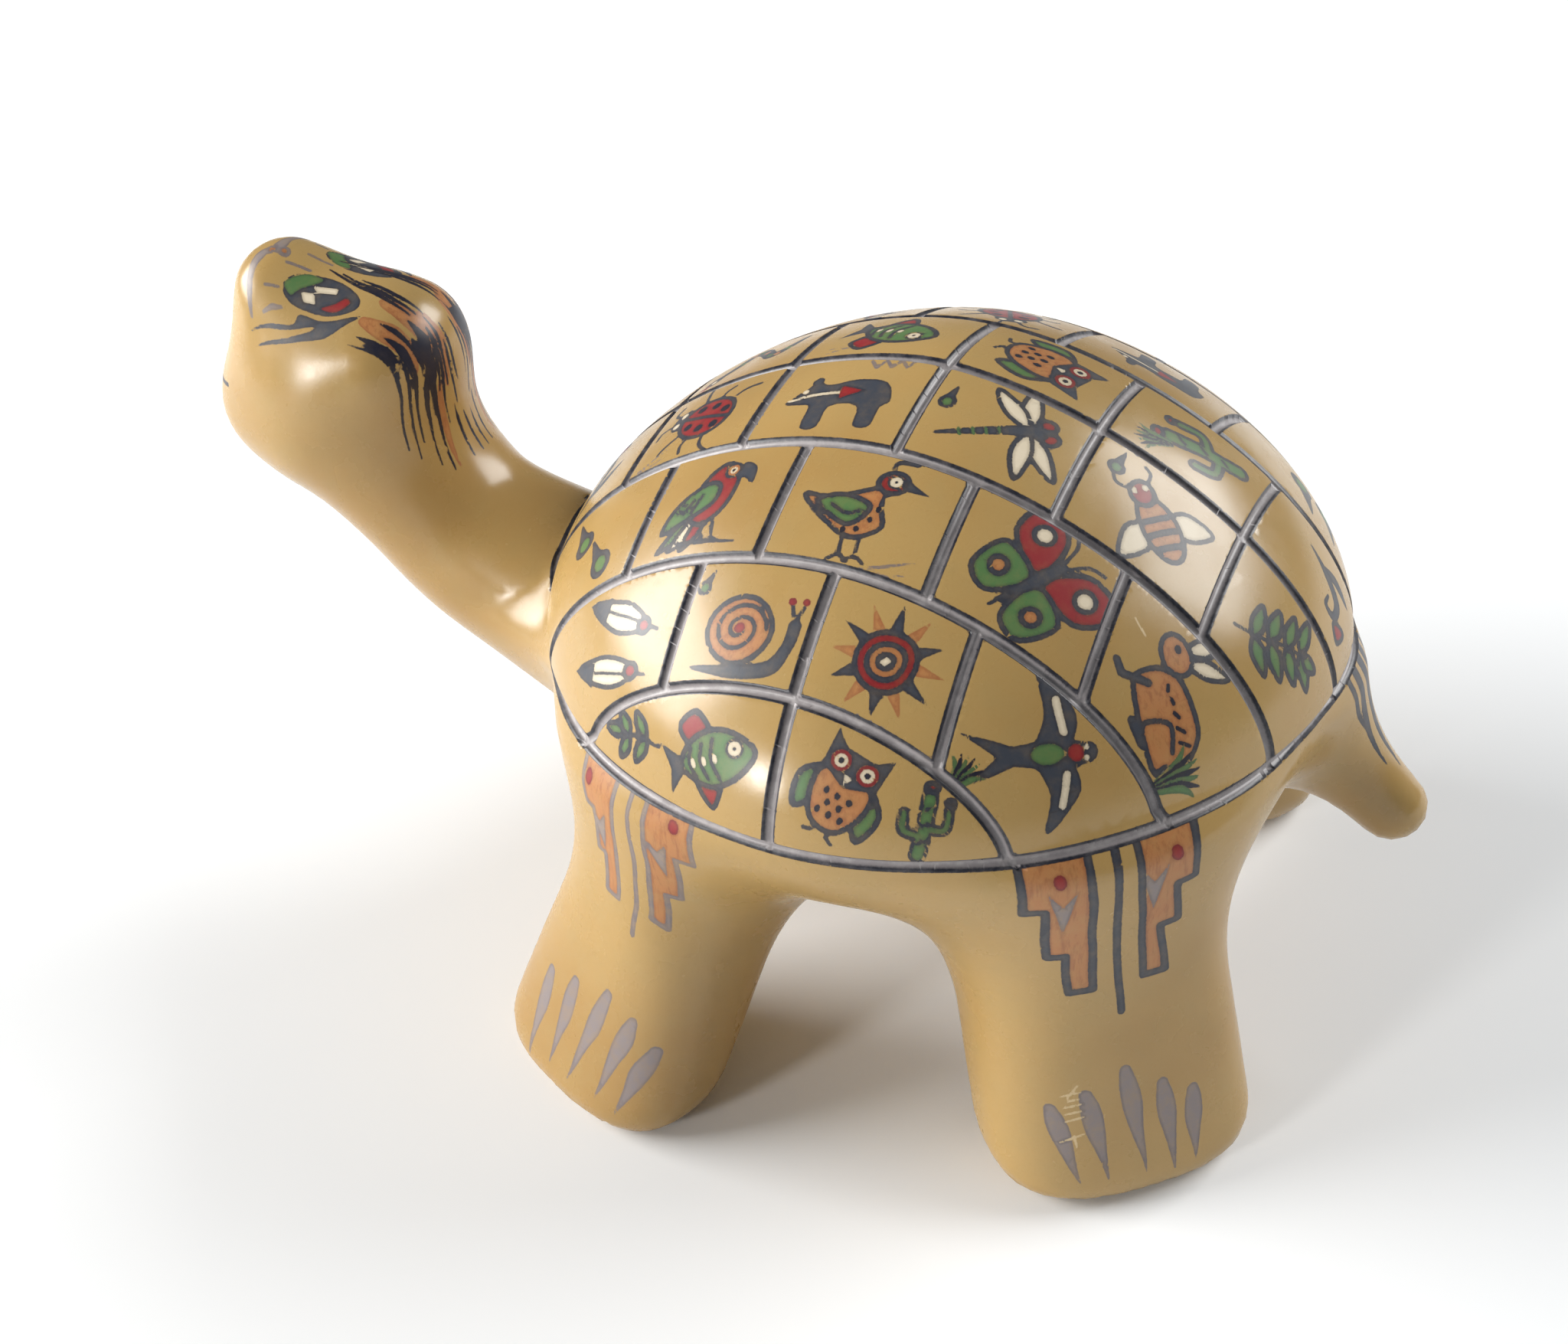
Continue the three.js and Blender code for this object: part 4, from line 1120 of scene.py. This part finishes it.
def divide(skin, wanted):
    """Each wanted face is cut in four"""
    mesh = skin.data
    mesh.vertices.foreach_set("select", [False] * len(mesh.vertices))
    mesh.edges.foreach_set("select", [False] * len(mesh.edges))
    mesh.polygons.foreach_set("select", wanted)
    bpy.ops.object.mode_set(mode="EDIT")
    bpy.ops.mesh.subdivide(number_cuts=1)
    bpy.ops.mesh.select_all(action="DESELECT")
    bpy.ops.object.mode_set(mode="OBJECT")


def near_strokes(skin, points, normals, colours, carved, bulge, reach):
    """Faces that a painted edge crosses or nears with a turn, or that a carved line crosses"""
    mesh = skin.data
    loops = np.zeros(len(mesh.loops), int)
    mesh.loops.foreach_get("vertex_index", loops)
    starts = np.zeros(len(mesh.polygons), int)
    mesh.polygons.foreach_get("loop_start", starts)
    corners = np.diff(np.append(starts, len(loops)))
    middles = np.add.reduceat(points[loops], starts) / corners[:, None]
    facing = np.add.reduceat(normals[loops], starts)
    facing /= np.linalg.norm(facing, axis=1)[:, None]
    paint = paint_all(np.concatenate([points, middles]), np.concatenate([normals, facing]))
    wanted = np.zeros(len(starts), bool)
    for colour in colours:
        edge, middle = np.split(paint.edge[colour], [len(points)])
        low = np.minimum(np.minimum.reduceat(edge[loops], starts), middle)
        high = np.maximum(np.maximum.reduceat(edge[loops], starts), middle)
        turn = np.abs(np.add.reduceat(edge[loops], starts) / corners - middle)
        wanted |= (low < reach) & (high > -reach) & (turn > bulge)
    if carved:
        near = np.minimum.reduceat(carved_lines(points, normals)[0][loops], starts)
        near = np.minimum(near, carved_lines(middles, facing)[0])
        wanted |= near < LINE_HALF_WIDTH
    return wanted


# For each division: the colours, whether the carved lines are divided too, how far an edge
# may stray from straight on a face that is left whole, and how near it is looked for
DIVISIONS = [
    (COLOURS, True, 0.12, 0.9),
    (COLOURS, True, 0.15, 0.15),
    (["ink", "scratch"], False, 0.11, 0),
]


def make_skin():
    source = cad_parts["turtle"]
    skin = bpy.data.objects.new("painted_turtle", source.data.copy())
    bpy.context.scene.collection.objects.link(skin)
    bpy.context.view_layer.objects.active = skin
    skin.select_set(True)
    bpy.context.tool_settings.mesh_select_mode = (False, False, True)
    bpy.ops.object.mode_set(mode="EDIT")
    bpy.ops.mesh.select_all(action="SELECT")
    bpy.ops.mesh.remove_doubles(threshold=0.01 * MM)
    bpy.ops.object.mode_set(mode="OBJECT")
    remesh = skin.modifiers.new("even facets", "REMESH")
    remesh.mode = "VOXEL"
    remesh.voxel_size = SKIN_FACET * MM
    bpy.ops.object.modifier_apply(modifier=remesh.name)
    points, _ = settle(read_points(skin), 5)
    write_points(skin, even_out(skin, points, 6))
    points, normals = settle(read_points(skin), 2)
    for division in DIVISIONS:
        divide(skin, near_strokes(skin, points, normals, *division))
        points, normals = settle(read_points(skin), 3)
        write_points(skin, points)
    points, normals = line_up(points, normals)
    return skin, points, normals


def finish_skin(skin, points, normals):
    """Carve the lines, keep each colour's edge on the mesh, and set the true normals"""
    paint = paint_all(points, normals)
    lines = carved_lines(points, normals)
    carved, tilted = carve(points, normals, lines)
    write_points(skin, carved)
    mesh = skin.data
    for colour in COLOURS:
        layer = mesh.attributes.new(colour, "FLOAT", "POINT")
        layer.data.foreach_set("value", np.clip(paint.edge[colour], -FAR, FAR))
    groove = mesh.attributes.new("groove", "FLOAT", "POINT")
    groove.data.foreach_set("value", lines[0])
    mesh.polygons.foreach_set("use_smooth", [True] * len(mesh.polygons))
    mesh.normals_split_custom_set_from_vertices(tilted)
    print("facets", sum(len(p.vertices) - 2 for p in mesh.polygons))


# Materials

class Shade:
    """A socket of a material, which adds Math nodes as it is used in sums"""

    def __init__(self, maker, socket):
        self.maker = maker
        self.socket = socket

    def sum(self, operation, other, swapped=False):
        pair = (other, self) if swapped else (self, other)
        return self.maker.node("ShaderNodeMath", {"operation": operation}, {0: pair[0], 1: pair[1]})

    def __add__(self, other):
        return self.sum("ADD", other)

    def __radd__(self, other):
        return self.sum("ADD", other, True)

    def __sub__(self, other):
        return self.sum("SUBTRACT", other)

    def __rsub__(self, other):
        return self.sum("SUBTRACT", other, True)

    def __mul__(self, other):
        return self.sum("MULTIPLY", other)

    def __rmul__(self, other):
        return self.sum("MULTIPLY", other, True)

    def __truediv__(self, other):
        return self.sum("DIVIDE", other)

    def __rtruediv__(self, other):
        return self.sum("DIVIDE", other, True)

    def ramp(self, low, high):
        """0 below low and 1 above high, or the other way round where low is above high"""
        return self.maker.node(
            "ShaderNodeMapRange", {"interpolation_type": "SMOOTHSTEP"},
            {"Value": self, "From Min": low, "From Max": high},
        )


class Finish:
    """A material and its nodes"""

    def __init__(self, name):
        self.material = bpy.data.materials.new(name)
        self.material.use_nodes = True
        self.tree = self.material.node_tree
        self.surface = self.tree.nodes["Principled BSDF"]

    def node(self, kind, settings=None, inputs=None, output=0):
        node = self.tree.nodes.new(kind)
        for name, value in (settings or {}).items():
            setattr(node, name, value)
        for name, value in (inputs or {}).items():
            self.set(node.inputs[name], value)
        return Shade(self, node.outputs[output])

    def set(self, socket, value):
        if isinstance(value, Shade):
            self.tree.links.new(value.socket, socket)
        elif isinstance(value, tuple) and len(value) == 3 and socket.type == "RGBA":
            socket.default_value = (*value, 1)
        else:
            socket.default_value = value

    def mix(self, first, second, share):
        settings = {"data_type": "RGBA"}
        return self.node("ShaderNodeMix", settings, {0: share, 6: first, 7: second}, 2)

    def place(self):
        return self.node("ShaderNodeTexCoord", output="Object")

    def noise(self, size, detail=3, rough=0.5, where=None):
        """Noise whose patches are about a size in millimetres"""
        inputs = {"Vector": where or self.place(), "Scale": 1 / (size * MM), "Detail": detail, "Roughness": rough}
        return self.node("ShaderNodeTexNoise", None, inputs)

    def streaks(self):
        """Noise drawn out up and down, like the marks of a brush"""
        stretched = self.node("ShaderNodeMapping", None, {"Vector": self.place(), "Scale": (1, 1, 0.16)})
        return self.noise(1.1, 3, 0.6, stretched)

    def edge(self, name):
        return self.node("ShaderNodeAttribute", {"attribute_name": name}, output="Fac")


CLAY_LIGHT = (0.425, 0.27, 0.094)
CLAY_DARK = (0.33, 0.185, 0.052)
CLAY_CLOUD = (0.36, 0.255, 0.098)
# Each slip: its colour, the colour where it pools at its edges, how well it covers, and how
# much of it is worn thin
SLIPS = {
    "rust": ((0.42, 0.165, 0.055), (0.28, 0.085, 0.03), 0.88, 0.3),
    "red": ((0.25, 0.008, 0.014), (0.14, 0.006, 0.012), 0.98, 0.1),
    "green": ((0.06, 0.16, 0.05), (0.035, 0.085, 0.035), 0.95, 0.14),
    "grey": ((0.215, 0.185, 0.19), (0.12, 0.1, 0.11), 0.93, 0.3),
    "slate": ((0.036, 0.044, 0.062), (0.012, 0.015, 0.028), 0.98, 0.12),
    "cream": ((0.72, 0.62, 0.46), (0.5, 0.42, 0.3), 0.97, 0.1),
    "ink": ((0.012, 0.012, 0.026), (0.008, 0.008, 0.018), 1, 0.05),
    "scratch": ((0.78, 0.62, 0.38), (0.6, 0.45, 0.25), 0.85, 0.1),
}
# Carved lines: grey slip on the floor, a paler streak down the middle that is partly scraped slip and partly a painted
# highlight, and dark slip at the edges
LINE_FLOOR = (0.29, 0.262, 0.262)
LINE_SCRAPE_AND_HIGHLIGHT = (0.5, 0.465, 0.455)
LINE_EDGE = (0.01, 0.011, 0.02)


def painted_clay():
    make = Finish("painted clay")
    cloud = make.noise(60, 3, 0.5)
    mottle = make.noise(8, 5, 0.6)
    grain = make.noise(0.7, 3, 0.6)
    colour = make.mix(CLAY_LIGHT, CLAY_DARK, cloud.ramp(0.38, 0.75) * 0.8)
    colour = make.mix(colour, CLAY_CLOUD, mottle.ramp(0.3, 0.9) * 0.4)
    colour = make.mix(colour, CLAY_DARK, grain.ramp(0.45, 0.9) * 0.22)

    fuzz = (grain - 0.5) * 0.3
    # Patchy noise: where the slips wear thin, and where the painted highlight in the carved lines shows
    wear_and_highlight_patches = make.noise(3, 4, 0.65).ramp(0.35, 0.8)
    streak = make.streaks()
    painted = None
    for name, (body, edge, cover, wear) in SLIPS.items():
        depth = make.edge(name) + fuzz
        tint = make.mix(body, edge, depth.ramp(-0.75, -0.1) * 0.75)
        if name == "rust":
            tint = make.mix(tint, edge, streak.ramp(0.45, 0.7) * 0.8)
        share = depth.ramp(0.12, -0.12) * (1 - wear_and_highlight_patches * wear) * cover
        colour = make.mix(colour, tint, share)
        painted = share if painted is None else painted + share

    groove = make.edge("groove") + fuzz * 0.8
    # Painted highlight, partly pale scraped slip, down the middle of each carved line, broken up by the same patchy
    # noise as the slips' wear
    floor = make.mix(LINE_FLOOR, LINE_SCRAPE_AND_HIGHLIGHT, groove.ramp(0.75, 0.2) * wear_and_highlight_patches * 0.8)
    floor = make.mix(floor, LINE_EDGE, groove.ramp(0.6, 1.0) * (1 - 0.3 * wear_and_highlight_patches))
    line = groove.ramp(1.5, 1.3)
    colour = make.mix(colour, floor, line)

    smooth = 0.22 + 0.1 * make.noise(14, 4, 0.6).ramp(0.3, 0.75)
    rough = smooth + (painted + line).ramp(0, 0.9) * 0.12
    height = mottle * 0.08 + grain * 0.05 + make.noise(24, 2, 0.4) * 0.5
    bump = make.node("ShaderNodeBump", None, {"Strength": 0.3, "Distance": 0.0005, "Height": height})
    make.set(make.surface.inputs["Base Color"], colour)
    make.set(make.surface.inputs["Roughness"], rough)
    make.set(make.surface.inputs["Normal"], bump)
    make.set(make.surface.inputs["IOR"], 1.5)
    return make.material


def floor_finish():
    make = Finish("pale table")
    make.set(make.surface.inputs["Base Color"], (0.86, 0.87, 0.88))
    make.set(make.surface.inputs["Roughness"], 0.9)
    return make.material


# Camera of the photograph: bearing and height in degrees, roll, distance from the middle
# of the rim and that point's pixel, with the focal length in pixels of the wide side
IMAGE_WIDTH, IMAGE_HEIGHT = 2048, 1755
FOCAL_PIXELS = 2400
BEARING, ELEVATION, ROLL = 112.45, 36.07, -4.26
VIEW_DISTANCE = 408.3
RIM_PIXEL = (1230.0, 773.3)
SENSOR_WIDTH = 36


def make_camera():
    bearing, height, roll = (math.radians(v) for v in (BEARING, ELEVATION, ROLL))
    right = np.array([math.cos(bearing), math.sin(bearing), 0])
    back = np.array([
        math.sin(bearing) * math.cos(height), -math.cos(bearing) * math.cos(height), math.sin(height),
    ])
    upward = np.cross(back, right)
    right, upward = (
        math.cos(roll) * right + math.sin(roll) * upward,
        math.cos(roll) * upward - math.sin(roll) * right,
    )
    shift_x = (RIM_PIXEL[0] - IMAGE_WIDTH / 2) / FOCAL_PIXELS
    shift_y = (RIM_PIXEL[1] - IMAGE_HEIGHT / 2) / FOCAL_PIXELS
    place = VIEW_DISTANCE * (back - shift_x * right + shift_y * upward)
    place = (place + SHELL_MIDDLE + UP * RIM_HEIGHT) * MM
    data = bpy.data.cameras.new("camera")
    data.sensor_width = SENSOR_WIDTH
    data.sensor_fit = "HORIZONTAL"
    data.lens = FOCAL_PIXELS / IMAGE_WIDTH * SENSOR_WIDTH
    data.clip_start = 0.01
    camera = bpy.data.objects.new("camera", data)
    columns = np.column_stack([right, upward, back, place])
    camera.matrix_world = Matrix([*columns.tolist(), [0, 0, 0, 1]])
    bpy.context.scene.collection.objects.link(camera)
    bpy.context.scene.camera = camera


SKY = (0.82, 0.91, 1, 1)
SKY_STRENGTH = 0.15
# Soft lights: heading in degrees round the figure from its front, height in degrees,
# distance and size in metres, share of full light on what faces them, and colour
LIGHTS = [
    ("front window", 12, 24, 2.2, (1.6, 1), 1.55, (1, 0.99, 0.97)),
    ("side window", 58, 14, 2.2, (0.3, 0.4), 0.42, (1, 0.99, 0.97)),
    ("rear window", -140, 34, 2.2, (1.5, 1), 1, (1, 1, 0.99)),
]


def area_light(name, place, target, size, power, colour=(1, 1, 1)):
    data = bpy.data.lights.new(name, "AREA")
    data.shape = "RECTANGLE"
    data.size, data.size_y = size
    data.energy = power
    data.color = colour
    light = bpy.data.objects.new(name, data)
    way = np.array(place, float) - np.array(target, float)
    way /= np.linalg.norm(way)
    side = np.cross(UP, way)
    side /= np.linalg.norm(side)
    columns = np.column_stack([side, np.cross(way, side), way, place])
    light.matrix_world = Matrix([*columns.tolist(), [0, 0, 0, 1]])
    bpy.context.scene.collection.objects.link(light)


def make_stage():
    bpy.ops.mesh.primitive_plane_add(size=8)
    floor = bpy.context.object
    floor.name = "table_top"
    floor.data.materials.append(floor_finish())
    world = bpy.data.worlds.new("studio")
    world.use_nodes = True
    world.node_tree.nodes["Background"].inputs["Color"].default_value = SKY
    world.node_tree.nodes["Background"].inputs["Strength"].default_value = SKY_STRENGTH
    bpy.context.scene.world = world
    bpy.context.scene.view_settings.view_transform = "Standard"
    for name, heading, height, distance, size, share, colour in LIGHTS:
        turn, tilt = math.radians(heading), math.radians(height)
        way = np.array([
            math.sin(turn) * math.cos(tilt), -math.cos(turn) * math.cos(tilt), math.sin(tilt),
        ])
        target = np.array([0, 0, 0.08])
        power = share * math.pi ** 2 * distance ** 2
        area_light(name, target + distance * way, target, size, power, colour)


make_camera()
skin, skin_points, skin_normals = make_skin()
finish_skin(skin, skin_points, skin_normals)
skin.data.materials.clear()
skin.data.materials.append(painted_clay())
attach(skin, "root")
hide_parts("turtle")
make_stage()
